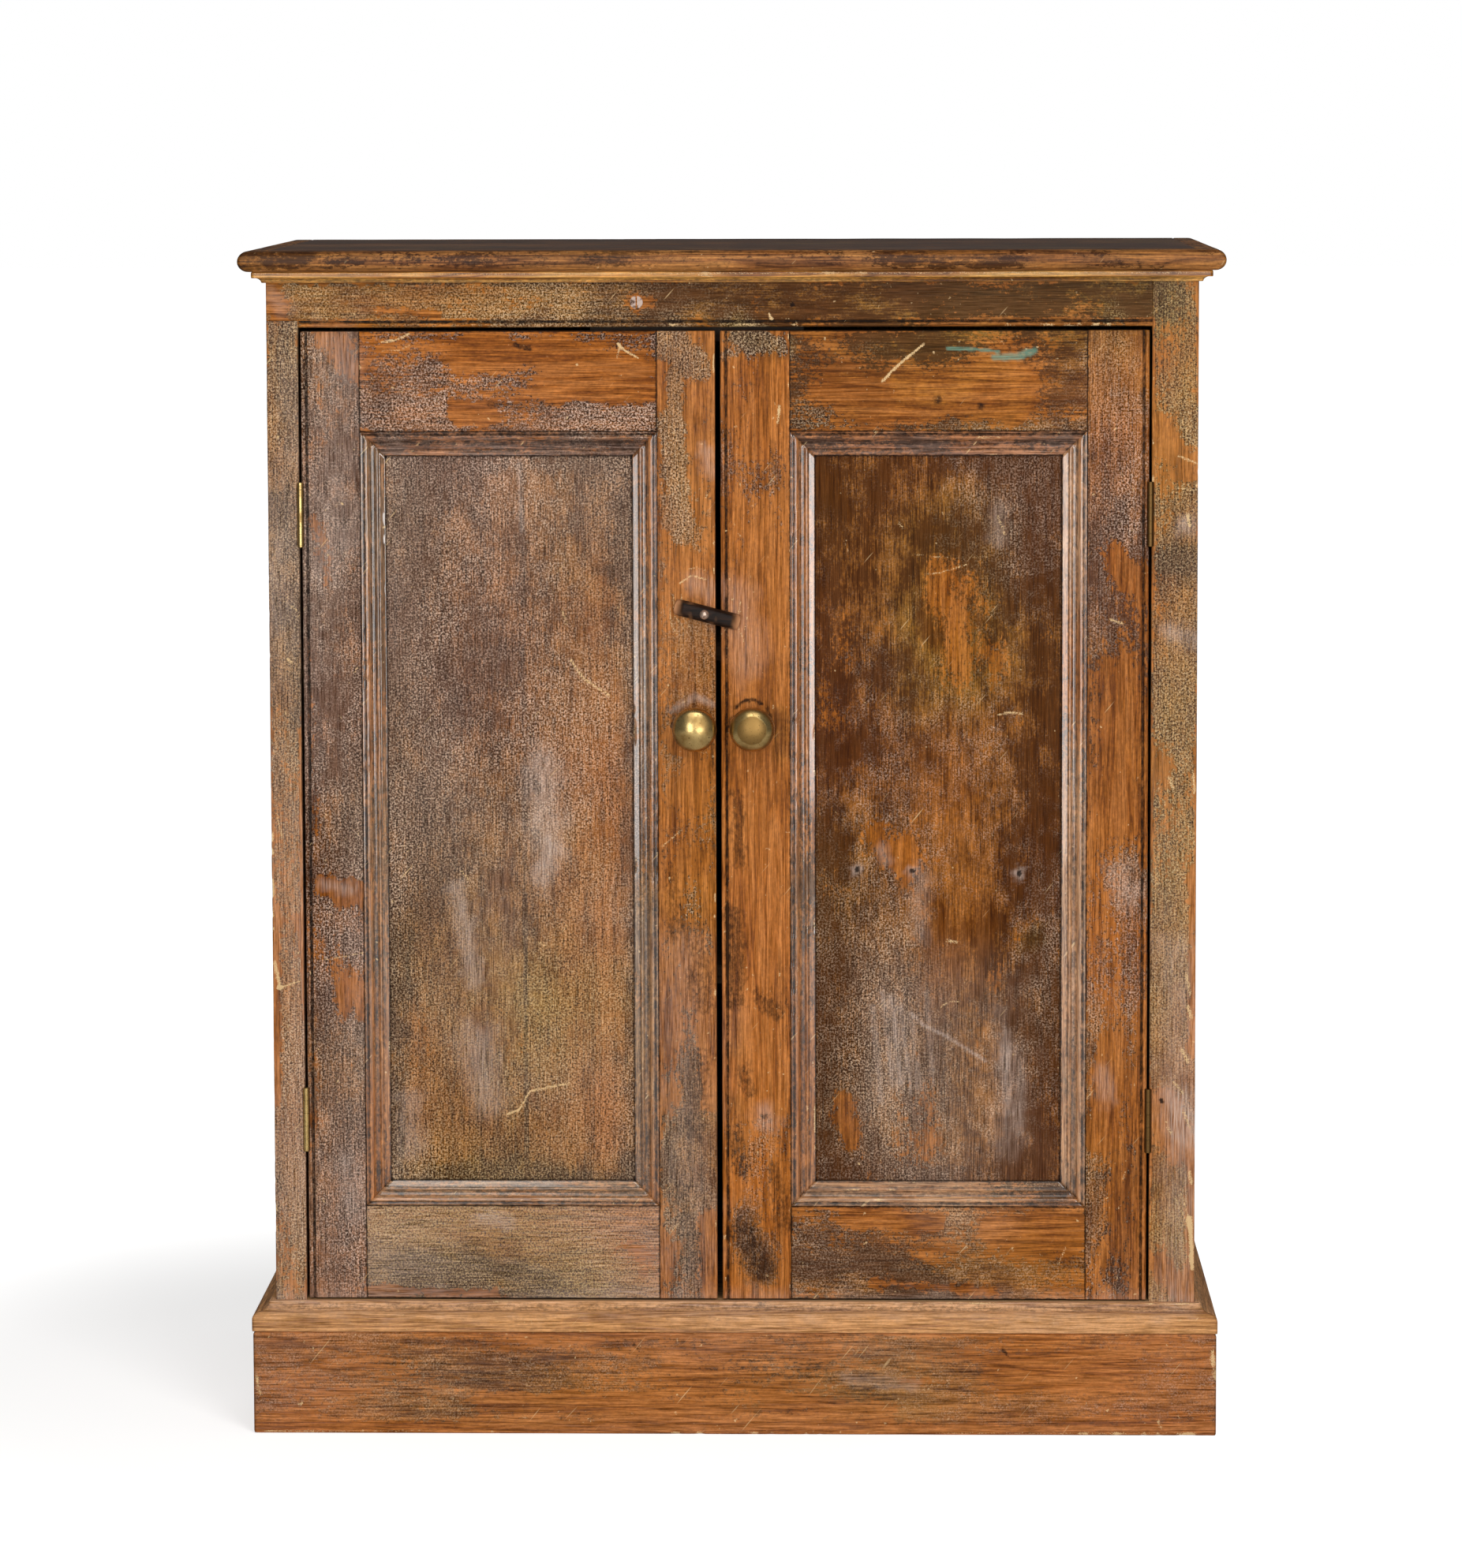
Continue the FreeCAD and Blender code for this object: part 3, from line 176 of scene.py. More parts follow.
@dataclass(frozen=True)
class Stroke:
    """A mark on the front, a rounded line through a few places.

    Attributes:
        mark: what it does.
        path: places as (x, z), in millimetres from the middle of the front's foot.
        width: half its width, in millimetres.
        strength: how much it adds at its middle, below zero to take away.
    """

    mark: Mark
    path: tuple[tuple[float, float], ...]
    width: float
    strength: float = 1.0

    def amount(self, points: Array) -> Array:
        """How much the stroke adds at each point.

        The distance to the nearest stretch of the path, shaken by a drift of the stroke's own width, eases
        from full strength to nothing: all the way to twice the width for soft marks, between half and one
        and a half widths for the rest. A scratch falls evenly to nothing 1.4 mm beyond its width, and the
        finish shows only its crest.

        Args:
            points: places whose last axis is x, y, z.

        Returns:
            One amount for each place.
        """
        flat = points[..., (0, 2)] / MM
        nearest = np.full(flat.shape[:-1], np.inf)
        ends = self.path if len(self.path) > 1 else self.path * 2
        for start, end in zip(ends[:-1], ends[1:]):
            way = np.subtract(end, start)
            length = float(way @ way) or 1.0
            share = np.clip(((flat - start) @ way) / length, 0.0, 1.0)
            gap = flat - start - share[..., None] * way
            nearest = np.minimum(nearest, np.hypot(gap[..., 0], gap[..., 1]))
        shaken = nearest * (1.0 + SHAKE * drift(points, max(self.width, LEAST_SHAKE_MM) * MM, 5))
        if self.mark is Mark.SCRATCH:
            reach = self.width + SCRATCH_FALL_MM
            return self.strength * np.clip(1.0 - shaken / reach, 0.0, 1.0)
        solid = 0.0 if self.mark in SOFT_MARKS else 0.5
        return self.strength * (1.0 - ease(solid * self.width, (2.0 - solid) * self.width, shaken))

    def near(self, points: Array) -> Array:
        """Which points lie in the stroke's surroundings, on the front.

        Args:
            points: places whose last axis is x, y, z.

        Returns:
            True or False for each place.
        """
        places = np.array(self.path) * MM
        room = (3.5 * self.width + 3.0) * MM
        low, high = places.min(axis=0) - room, places.max(axis=0) + room
        flat = points[..., (0, 2)]
        return np.all((flat > low) & (flat < high), axis=-1) & (points[..., 1] < FRONT_DEPTH)


@dataclass(frozen=True)
class Look:
    """How far the varnish of one piece has aged, before its strokes.

    Attributes:
        wear: 0 for whole varnish, 1 for varnish rubbed down to the wood.
        crust: 0 for a clear coat, 1 for one that has crazed into a skin.
        dark: 0 for a thin pale film, 1 for a thick dark one.
        olive: 0 for red-brown varnish, 1 for olive.
        bloom: whitish haze, partly a painted sheen of the lamps.
        edge: how far the arrises are rubbed pale.
        patch: how strongly the coat varies from place to place.
        seed: which random fields.
    """

    wear: float = 0.35
    crust: float = 0.4
    dark: float = 0.4
    olive: float = 0.3
    bloom: float = 0.1
    edge: float = 0.5
    patch: float = 1.0
    seed: int = 1


def stroke_ring(mark: Mark, low: tuple[float, float], high: tuple[float, float], width: float,
                strength: float) -> list[Stroke]:
    """Four strokes of one mark round a rectangle.

    Args:
        mark: what they do.
        low, high: the rectangle's corners as (x, z) in millimetres.
        width: half their width in millimetres.
        strength: how much they add.

    Returns:
        The strokes.
    """
    corners = (low, (high[0], low[1]), high, (low[0], high[1]), low)
    return [Stroke(mark, (start, end), width, strength) for start, end in zip(corners[:-1], corners[1:])]


def strokes_of(rows: dict[Mark, tuple[tuple[Any, ...], ...]]) -> list[Stroke]:
    """Make the strokes of a list.

    Args:
        rows: for each mark, rows of half a width, a strength and the places of a path.

    Returns:
        The strokes in order.
    """
    return [Stroke(mark, tuple(path), width, strength)
            for mark, lines in rows.items() for width, strength, *path in lines]


LEFT_PANEL = ((-341.6, 250.5), (-98.5, 973.5))
RIGHT_PANEL = ((81.5, 250.5), (324.3, 973.5))
PANEL_HOLES = ((122.8, 562.3), (177.5, 561.5), (282.9, 559.1))

FRAME_MARKS = {
    Mark.WORN: (
        (5, 0.55, (-455, 1151), (405, 1151)), (4, 0.5, (-350, 1118), (-289, 1113)),
        (10, 0.45, (-452, 1140), (-444, 1115)), (8, 0.4, (-93, 1125), (-84, 1124)), (8, 0.4, (24, 1125)),
        (12, 0.35, (420, 1000), (450, 960)), (18, 0.5, (430, 330), (450, 280)),
        (14, 0.5, (420, 170), (455, 140)), (5, 0.5, (-455, 520), (-455, 330)),
        (10, 0.25, (-450, 240), (-440, 140)), (5, 0.6, (455, 560), (454, 440), (455, 380)),
        (5, 0.5, (454, 280), (455, 140)),
    ),
    Mark.THICK: ((40, -0.25, (80, 1122), (400, 1126)),),
    Mark.DARK: (
        # the first dark stroke is a line along the top of the frame's rail, just under the bed mould
        (3, 0.5, (-430, 1144), (-120, 1146), (200, 1143), (400, 1145)), (40, 0.4, (80, 1122), (400, 1126)),
        (12, 0.5, (415, 868), (455, 872)), (9, 0.6, (-450, 930), (-440, 880)),
    ),
    Mark.OLIVE: ((40, 0.35, (250, 1120), (400, 1130)),),
    Mark.BLOOM: (
        (8, 0.35, (-450, 1130), (-440, 1120)), (8, 0.5, (432, 800), (456, 792)), (9, 0.6, (448, 905)),
        (14, 0.6, (440, 330), (455, 300)), (18, 0.38, (440, 480), (442, 240), (440, 140)),
    ),
    Mark.SCRATCH: (
        (0.9, 0.5, (406, 1109), (438, 1131)), (1.4, 0.8, (37, 1113), (39, 1108)),
        (1.6, 0.7, (438, 973), (456, 966)), (1.0, 0.6, (434, 942), (455, 939)),
        (2.2, 0.8, (447, 915), (449, 905)), (2.0, 0.7, (454, 660), (455, 640)),
        (3.0, 0.7, (430, 655), (434, 645)), (3.2, 0.9, (453, 215), (455, 165)),
        (1.0, 0.6, (438, 236), (452, 205)), (0.9, 0.6, (444, 240), (453, 210)),
        (2.4, 0.7, (-440, 774), (-436, 770)), (2.0, 0.6, (-436, 826), (-430, 822)),
        (1.4, 0.6, (-452, 620), (-447, 596)), (2.4, 0.8, (-455, 470), (-450, 445)),
        (1.0, 0.7, (-452, 445), (-430, 452)), (3.0, 0.6, (448, 460), (452, 440)),
        (3.4, 0.7, (450, 428), (453, 416)), (2.6, 0.7, (444, 384), (450, 372)),
        (2.4, 0.6, (436, 352), (446, 340)), (3.2, 0.6, (446, 322), (452, 306)),
        (2.6, 0.6, (430, 306), (434, 300)), (2.6, 0.7, (452, 262), (454, 250)),
    ),
    Mark.GRIME_AND_SHADE: ((2.4, 1.5, (59.6, 1122.5)), (2.0, 0.9, (449, 908)), (2.4, 1.0, (424, 333)),),
}

LEFT_DOOR_MARKS = {
    Mark.WORN: (
        (20, 0.35, (-255, 1075), (-190, 1062), (-90, 1052)), (16, 0.3, (-170, 1046), (-90, 1036)),
        (16, -0.4, (-355, 1018), (-290, 1012)), (12, -0.45, (-150, 1010), (-78, 1008)),
        (8, 0.6, (-272, 1017), (-242, 1014)), (13, 0.4, (-392, 1095), (-375, 1062)),
        (8, 0.4, (-412, 911), (-400, 850)), (6, 0.35, (-420, 800), (-412, 600)),
        (12, 0.75, (-408, 546), (-380, 540)), (18, 0.3, (-415, 500), (-380, 430)),
        (15, -0.5, (-60, 1092), (-28, 1060)), (8, -0.5, (-57, 1050), (-52, 900)),
        (18, 0.5, (-40, 860), (-28, 835)), (4, 0.5, (-63, 700), (-58, 684), (-40, 678)),
        (16, 0.25, (-45, 650), (-35, 570)), (8, 0.5, (-22, 420), (-22, 330)),
        (10, 0.5, (-24, 210), (-22, 140)), (10, 0.35, (-112, 930), (-112, 890)),
        (5, 0.5, (-360, 140), (-240, 137)), (18, 0.35, (-120, 205), (-84, 180)),
    ),
    Mark.THICK: (
        (16, 0.5, (-355, 1018), (-290, 1012)), (12, 0.5, (-150, 1010), (-78, 1008)),
        (26, -0.3, (-400, 810), (-395, 560)), (15, 0.5, (-60, 1092), (-28, 1060)),
        (8, 0.6, (-57, 1050), (-52, 900)), (26, 0.25, (-48, 520), (-45, 170)),
        (90, -0.15, (-220, 950), (-220, 830)),
    ),
    Mark.DARK: (
        (4, 0.6, (-415, 870), (-395, 868)), (26, 0.4, (-400, 810), (-395, 560)),
        (14, 0.3, (-60, 720), (-50, 690)), (100, 0.15, (-220, 950), (-220, 800)),
        (22, 0.3, (-330, 950), (-330, 700)), (1.2, 0.6, (-206.6, 970), (-206.6, 255)),
        (16, 0.25, (-330, 160), (-200, 150)),
    ),
    Mark.OLIVE: ((90, 0.4, (-220, 420), (-220, 260)), (100, -0.35, (-220, 940), (-220, 800)),),
    Mark.BLOOM: (
        (16, 0.3, (-388, 1085), (-378, 1065)), (24, 0.3, (-392, 1050), (-390, 890)),
        (5, 0.5, (-405, 549), (-380, 544)), (12, 0.35, (-385, 265), (-375, 220)),
        (6, 0.4, (-26, 978), (-22, 958)), (9, 0.35, (-38, 848), (-26, 842)),
        (3, 0.5, (-60, 722), (-36, 736), (-20, 728)), (24, 0.26, (-48, 480), (-45, 170)),
        (14, 0.55, (-187, 672), (-190, 640), (-184, 590)), (10, 0.55, (-178, 580), (-190, 552)),
        (7, 0.5, (-276, 545), (-266, 500), (-258, 450)), (16, 0.45, (-256, 390), (-246, 330)),
        (10, 0.4, (-322, 330), (-322, 280)), (80, 0.14, (-215, 580), (-235, 420)),
        (100, 0.1, (-220, 950), (-220, 800)), (1.6, 0.4, (-210, 968), (-208, 900)),
        (7, 0.5, (-250, 214), (-228, 210)),
    ),
    Mark.SCRATCH: (
        (0.8, 0.45, (-359, 1026), (-352, 1050), (-342, 1064)),
        (1.0, 0.8, (-344, 1086), (-330, 1088), (-317, 1094)),
        (0.8, 0.6, (-344, 1077), (-326, 1078), (-316, 1083)),
        (0.9, 0.8, (-112, 1084), (-104, 1077), (-92, 1070)), (0.8, 0.6, (-112, 1070), (-110, 1084)),
        (0.9, 0.6, (-408, 473), (-368, 480)), (0.8, 0.7, (-52, 848), (-40, 856), (-26, 852)),
        (0.8, 0.6, (-58, 836), (-57, 816), (-46, 800)), (0.7, 0.6, (-50, 838), (-52, 818), (-40, 802)),
        (0.7, 0.6, (-62, 826), (-60, 806), (-50, 792)), (0.7, 0.6, (-44, 862), (-34, 864), (-24, 860)),
        (0.8, 0.6, (-70, 587), (-50, 604)), (0.9, 0.9, (-160, 772), (-154, 762), (-146, 752), (-122, 736)),
        (1.0, 0.85, (-226, 317), (-214, 321), (-203, 340), (-164, 348)),
        (0.8, 0.5, (-184, 860), (-174, 826)), (2.6, 0.6, (-168, 820), (-164, 808)),
        (1.2, 0.7, (-270, 562), (-262, 552)), (1.4, 0.7, (-194, 490), (-186, 486)),
        (1.0, 0.6, (-170, 500), (-164, 508)),
    ),
    Mark.GRIME_AND_SHADE: (
        (3, 0.4, (-238, 1025), (-205, 1022), (-175, 1024)), (3, 0.75, (-212, 1083), (-199, 1080)),
        (2.5, 0.4, (-20, 700), (-19, 580)), (12, 0.36, (-36, 500), (-30, 430)),
        (10, 0.34, (-30, 380), (-38, 300)), (8, 0.34, (-60, 560), (-58, 500)),
        (12, 0.34, (-52, 240), (-40, 170)), (1.6, 0.7, (-249, 868)), (1.2, 0.6, (-206, 858), (-205, 838)),
    ),
}

RIGHT_DOOR_MARKS = {
    Mark.WORN: (
        (12, -0.6, (8, 1092), (45, 1082)), (14, 0.4, (20, 760), (24, 742)),
        (24, 0.25, (20, 660), (25, 560)), (18, -0.4, (10, 210), (30, 160)), (16, 0.3, (20, 400), (25, 340)),
        (18, 0.3, (98, 1040), (180, 1028), (280, 1024)), (8, 0.5, (201, 1028)),
        (24, 0.3, (215, 850), (222, 760)), (20, 0.35, (140, 600), (160, 570)),
        (40, 0.15, (150, 420), (180, 300)), (14, 0.45, (110, 330), (115, 300)),
        (24, -0.25, (375, 1085), (378, 900)), (16, 0.45, (365, 880), (395, 850)),
        (22, 0.3, (380, 760), (385, 620)), (14, 0.5, (372, 380), (366, 300)),
        (8, 0.5, (120, 218), (200, 212)), (14, 0.4, (260, 205), (330, 200)),
        (6, 0.45, (140, 150), (260, 140)),
    ),
    Mark.THICK: (
        (12, 0.6, (8, 1092), (45, 1082)), (9, 0.5, (28, 458), (36, 440)), (9, 0.5, (70, 1010), (150, 1004)),
        (34, 0.2, (285, 960), (290, 870)), (80, 0.3, (200, 400), (200, 270)),
        (24, 0.4, (375, 1085), (378, 900)),
    ),
    Mark.DARK: (
        (12, 0.6, (8, 1092), (45, 1082)), (8, 0.6, (44, 717), (50, 682)), (6, 0.7, (0, 520), (4, 380)),
        (12, 0.6, (40, 470), (46, 430)), (8, 0.6, (2, 330), (8, 260)), (18, 0.7, (10, 210), (30, 160)),
        (9, 0.5, (48, 320), (52, 200)), (16, 0.35, (70, 1085), (150, 1070)),
        (60, 0.15, (120, 950), (300, 880)), (60, 0.15, (120, 720), (280, 700)),
        (70, -0.12, (200, 420), (200, 290)), (14, 0.5, (395, 280), (385, 150)),
        (20, 0.3, (80, 175), (200, 150)),
    ),
    Mark.OLIVE: (
        (14, 0.5, (8, 1092), (45, 1082)), (10, 0.6, (44, 717), (50, 682)),
        (30, 0.4, (150, 1075), (240, 1080)), (40, 0.45, (215, 900), (222, 760)), (9, 0.7, (297, 494)),
        (70, 0.2, (200, 330), (200, 265)),
    ),
    Mark.BLOOM: (
        (16, 0.3, (0, 840), (15, 770)), (8, 0.5, (30, 322), (32, 310)), (7, 0.35, (262, 918), (262, 890)),
        (6, 0.4, (148, 582), (152, 572)), (1.2, 0.8, (176, 419), (190, 406), (211, 396), (250, 371)),
        (9, 0.3, (186, 556), (184, 500)), (8, 0.15, (160, 430), (164, 350)),
        (2.5, 0.35, (138, 425), (147, 330)), (2.2, 0.4, (148, 440), (158, 345)),
        (2.6, 0.45, (157, 435), (166, 350)), (2.2, 0.35, (166, 425), (176, 340)),
        (3.0, 0.3, (176, 415), (184, 345)), (2.4, 0.25, (192, 440), (198, 350)),
        (4.0, 0.3, (270, 400), (272, 320)), (4.0, 0.25, (286, 370), (284, 300)),
        (14, 0.1, (140, 420), (150, 330)), (60, 0.22, (200, 420), (210, 290)),
        (13, 0.22, (276, 380), (270, 290)), (8, 0.18, (262, 420), (268, 370)),
        (12, 0.35, (380, 560), (390, 540)), (8, 0.4, (366, 362), (370, 340)),
    ),
    Mark.SCRATCH: (
        (1.5, 0.8, (47, 1023), (45, 1006)), (1.0, 0.4, (18, 930), (30, 918)),
        (0.8, 0.6, (8, 830), (4, 808), (12, 790)), (0.8, 0.5, (16, 824), (12, 800)),
        (1.3, 0.95, (148, 1047), (160, 1060), (188, 1083)), (0.7, 0.4, (92, 1060), (84, 1030)),
        (0.8, 0.55, (176, 876), (215, 872), (252, 873)), (0.9, 0.6, (188, 856), (206, 858), (232, 866)),
        (1.2, 0.8, (262, 717), (272, 719), (286, 718)), (2.2, 0.6, (261, 914), (268, 896)),
        (0.8, 0.5, (110, 890), (116, 872)), (1.6, 0.7, (164, 906), (168, 902)),
        (0.8, 0.6, (205, 424), (214, 432), (224, 430)), (1.6, 0.7, (212, 492), (222, 490)),
        (1.6, 0.7, (372, 812), (384, 808)), (1.2, 0.6, (322, 168), (330, 186)),
    ),
    Mark.GRIME_AND_SHADE: (
        (1.8, 0.75, (3, 724), (10, 731), (20, 733), (29, 729)), (1.6, 0.6, (34, 724), (39, 712)),
        (1.5, 0.5, (-1, 716), (-3, 706)), (9, 0.5, (0, 520), (4, 470), (2, 430)),
        (9, 0.48, (26, 436), (44, 420)), (8, 0.45, (8, 362), (16, 342)), (7, 0.45, (4, 300), (6, 262)),
        (9, 0.42, (40, 262), (48, 210)), (16, 0.42, (14, 206), (30, 160)), (6, 0.38, (4, 640), (7, 570)),
        (4, 0.5, (31, 316)), (4.5, 0.6, (201, 1028)), (4, 0.7, (244, 1023)), (7, 0.3, (297, 494)),
    ),
    Mark.SMEAR: (
        (1.4, 0.55, (212, 1079), (240, 1078), (262, 1076)),
        (3.2, 0.6, (258, 1070), (280, 1071), (297, 1077)),
    ),
}

FOOT_MARKS = {
    Mark.WORN: (
        (7, 0.45, (-470, 5), (470, 5)), (12, 0.35, (-250, 32), (-80, 26)), (12, 0.3, (40, 30), (150, 26)),
        (16, 0.3, (260, 66), (380, 60)),
    ),
    Mark.DARK: (
        (30, 0.2, (-320, 70), (-180, 60)), (26, 0.2, (-30, 80), (60, 60)), (28, 0.2, (120, 50), (240, 62)),
    ),
    Mark.BLOOM: ((5, 0.3, (110, 58), (180, 50)), (9, 0.3, (-455, 130), (455, 130)),),
    Mark.SCRATCH: (
        (3.4, 0.8, (474, 85), (478, 58)), (3.0, 0.6, (420, 16), (424, 8)),
        (2.4, 0.7, (-476, 60), (-472, 40)), (1.6, 0.5, (-470, 2), (-300, 3)),
        (1.6, 0.45, (200, 2), (460, 3)),
        (1.0, 0.5, (-470, 1153.4), (-200, 1153), (60, 1153.4), (470, 1153)),
    ),
    Mark.GRIME_AND_SHADE: ((1.4, 0.7, (-100, 92), (-96, 86)), (1.6, 0.7, (266, 88), (272, 80)),),
}

FRONT_STROKES = [
    *strokes_of(FRAME_MARKS),
    *strokes_of(LEFT_DOOR_MARKS),
    *strokes_of(RIGHT_DOOR_MARKS),
    *strokes_of(FOOT_MARKS),
]
for hole in PANEL_HOLES:
    FRONT_STROKES += [Stroke(Mark.BLOOM, (hole,), 4.5, 0.8), Stroke(Mark.GRIME_AND_SHADE, (hole,), 2.6, 1.6)]
# Round each panel: a broad band of darker film beside its mould, and a thin dark line where panel and mould
# meet, which is the joint and also painted shadow under the mould's inner edge.
for panel_corners in (LEFT_PANEL, RIGHT_PANEL):
    FRONT_STROKES += stroke_ring(Mark.DARK, *panel_corners, 14.0, 0.5)
    FRONT_STROKES += stroke_ring(Mark.GRIME_AND_SHADE, *panel_corners, 1.3, 0.7)


@dataclass(frozen=True)
class Ageing:
    """Sizes of the soft random patches that age a surface, and the depth of its knocks and heaves."""

    broad: float = 60.0 * MM
    middle: float = 22.0 * MM
    fine: float = 7.0 * MM
    crust: float = 80.0 * MM
    dark: float = 110.0 * MM
    olive: float = 120.0 * MM
    bloom: float = 50.0 * MM
    knock: float = 1.0 * MM
    heave: float = 45.0 * MM
    heave_depth: float = 0.12 * MM


AGEING = Ageing()


@dataclass
class Run:
    """A closed section carried straight along a length, its ends square or mitred.

    A point of the surface has two parameters: its place round the section and its station along the
    length. Its place is the origin, plus the section's two coordinates along out and up, plus the station
    along the length, where a mitred end moves a point by its own out.

    Attributes:
        node: the frame's node that the piece stands for.
        origin: where the section's origin starts.
        along, out, up: unit directions of the length and of the section's coordinates.
        length: the length at out = 0.
        section: the closed outline as an array of (out, up).
        mitres: how far each end grows for each unit of out: 1 outside, -1 inside, 0 square.
        look: the age of its varnish.
        step: spacing of the stations.
        breaks: stations that a cut needs exactly.
        end_round: rounding of the square ends.
        cuts: what is cut out of it.
        dirt: how dark each point of the section is made, or None: dirt at edges, painted shadow at a mould's
            foot.
        end_dirt: how dirty the ends are.
    """

    node: str
    origin: Array
    along: Array
    out: Array
    up: Array
    length: float
    section: Array
    look: Look
    mitres: tuple[float, float] = (0.0, 0.0)
    step: float = 2.0 * MM
    breaks: tuple[float, ...] = ()
    end_round: float = 0.0
    cuts: tuple["Cut", ...] = ()
    dirt: Array | None = None
    end_dirt: float = 0.0

    def stations(self) -> Array:
        """Stations along the length: even steps, the breaks, and close ones where the ends are rounded.

        Returns:
            The stations in order.
        """
        count = max(2, int(self.length / self.step) + 1)
        places = [np.linspace(0.0, self.length, count), np.array(self.breaks)]
        if self.end_round:
            close = self.end_round * (1.0 - np.cos(np.linspace(0.0, math.pi / 2, 5)))
            places += [close, self.length - close]
        return np.unique(np.round(np.concatenate(places), 6))

    def turning(self) -> tuple[Array, Array, Array]:
        """How the section bends.

        The turn from one side to the next is spread along the outline by a bell of 2 mm: turns outwards
        give the rim, turns inwards the hollow.

        Returns:
            Rim and hollow from 0 to 1 and the outward normals, for each point of the section.
        """
        ahead = np.roll(self.section, -1, axis=0) - self.section
        behind = self.section - np.roll(self.section, 1, axis=0)
        area = float(np.sum(self.section[:, 0] * ahead[:, 1] - self.section[:, 1] * ahead[:, 0]))
        spin = math.copysign(1.0, area)
        turn = np.arctan2(behind[:, 0] * ahead[:, 1] - behind[:, 1] * ahead[:, 0],
                          (behind * ahead).sum(axis=1)) * spin
        gaps = np.linalg.norm(self.section[:, None] - self.section[None], axis=2)
        bell = np.exp(-(gaps / BEND_SPREAD) ** 2)
        rim = np.clip(bell @ np.clip(turn, 0.0, None) / FULL_BEND, 0.0, 1.0)
        hollow = np.clip(bell @ np.clip(-turn, 0.0, None) / FULL_BEND, 0.0, 1.0)
        tangent = ahead / np.linalg.norm(ahead, axis=1, keepdims=True)
        tangent += behind / np.linalg.norm(behind, axis=1, keepdims=True)
        normal = np.stack([tangent[:, 1], -tangent[:, 0]], axis=1) * spin
        size = np.linalg.norm(normal, axis=1, keepdims=True)
        return rim, hollow, normal / np.where(size > 0.0, size, 1.0)

    def build(self) -> bpy.types.Object:
        """Work out the surface, age it and make it a mesh that stands for its node.

        Returns:
            The finished object, without a material.
        """
        stations = self.stations()
        rim, hollow, normal = self.turning()
        outs = np.repeat(self.section[None, :, 0], len(stations), axis=0)
        ups = np.repeat(self.section[None, :, 1], len(stations), axis=0)
        for cut in self.cuts:
            outs, ups = cut.apply(stations, outs, ups)
        if self.end_round:
            near = np.minimum(stations, self.length - stations)
            bite = np.clip(1.0 - near / self.end_round, 0.0, 1.0)
            inset = self.end_round * (1.0 - np.sqrt(1.0 - bite ** 2))[:, None]
            low, high = self.section.min(axis=0), self.section.max(axis=0)
            outs = np.clip(outs, low[0] + inset, high[0] - inset)
            ups = np.clip(ups, low[1] + inset, high[1] - inset)
        share = stations[:, None] / self.length
        before, after = self.mitres
        run = -before * outs + share * (self.length + (before + after) * outs)
        points = (self.origin + outs[..., None] * self.out + ups[..., None] * self.up
                  + run[..., None] * self.along)
        outward = normal[None, :, :1] * self.out + normal[None, :, 1:] * self.up
        dirt = np.zeros(outs.shape) if self.dirt is None else np.broadcast_to(self.dirt, outs.shape)
        near = np.minimum(stations, self.length - stations)[:, None]
        dirt = np.maximum(dirt, self.end_dirt * np.exp(-(near / DIRT_REACH) ** 2))
        # painted shade in the hollows of the section
        dirt = np.maximum(dirt, HOLLOW_SHADE * hollow[None])
        return self.age(points, np.broadcast_to(rim, outs.shape), dirt, outward)

    def age(self, points: Array, rim: Array, dirt: Array, outward: Array) -> bpy.types.Object:
        """Knock, rub and stain the new surface, then make its mesh.

        Knocks push a rim in by up to a millimetre where two drifts are both high; the face heaves by a
        tenth of a millimetre. The finish values start from the look, drift, and take the strokes.

        Args:
            points: the surface, as rings of places.
            rim: how much of an outer corner each point is.
            dirt: how dark each point is made: dirt at joints and ends, painted shade in hollows and at the
                foot of a mould.
            outward: the way out of the surface.

        Returns:
            The finished object.
        """
        look = self.look
        seed = look.seed
        stretched = points / (1.0 + 2.0 * np.abs(self.along))
        broad = drift(stretched, AGEING.broad, seed)
        middle = drift(stretched, AGEING.middle, seed + 1)
        fine = drift(points, AGEING.fine, seed + 2)
        knock = rim * ease(0.35, 0.9, 0.75 * middle + 0.6 * fine) * look.edge
        points = points - outward * (knock * AGEING.knock)[..., None]
        heave = AGEING.heave_depth * drift(points, AGEING.heave, seed + 3)
        points = points + outward * heave[..., None]
        rubbed = rim * ease(-0.35, 0.7, broad + 0.5 * fine) * look.edge
        scuffed = rubbed * ease(0.1, 0.8, middle + 0.4 * fine)
        crazed = 0.35 * drift(stretched, AGEING.crust, seed + 4) + 0.15 * fine
        haze_and_sheen_drift = drift(stretched, AGEING.bloom, seed + 6)
        values = {
            Mark.WORN.value: look.wear + 0.26 * broad + 0.18 * middle + 0.45 * rubbed,
            Mark.THICK.value: look.crust + look.patch * crazed,
            Mark.DARK.value: look.dark + look.patch * 0.38 * drift(stretched, AGEING.dark, seed + 7),
            Mark.OLIVE.value: look.olive + 0.30 * drift(points, AGEING.olive, seed + 5),
            # the haze is partly painted sheen
            Mark.BLOOM.value: look.bloom * (1.0 + look.patch * 0.9 * haze_and_sheen_drift),
            Mark.SCRATCH.value: (0.8 * knock + 0.5 * scuffed) * (1.0 - dirt),
            # grime: dirt, and painted shade in hollows and at the foot of the moulds
            Mark.GRIME_AND_SHADE.value: dirt * (0.85 + 0.3 * fine),
            Mark.SMEAR.value: np.zeros(rim.shape),
        }
        for stroke in FRONT_STROKES:
            near = stroke.near(points)
            if near.any():
                values[stroke.mark.value][near] += stroke.amount(points[near])
        return grid_object(self.node, points, values)


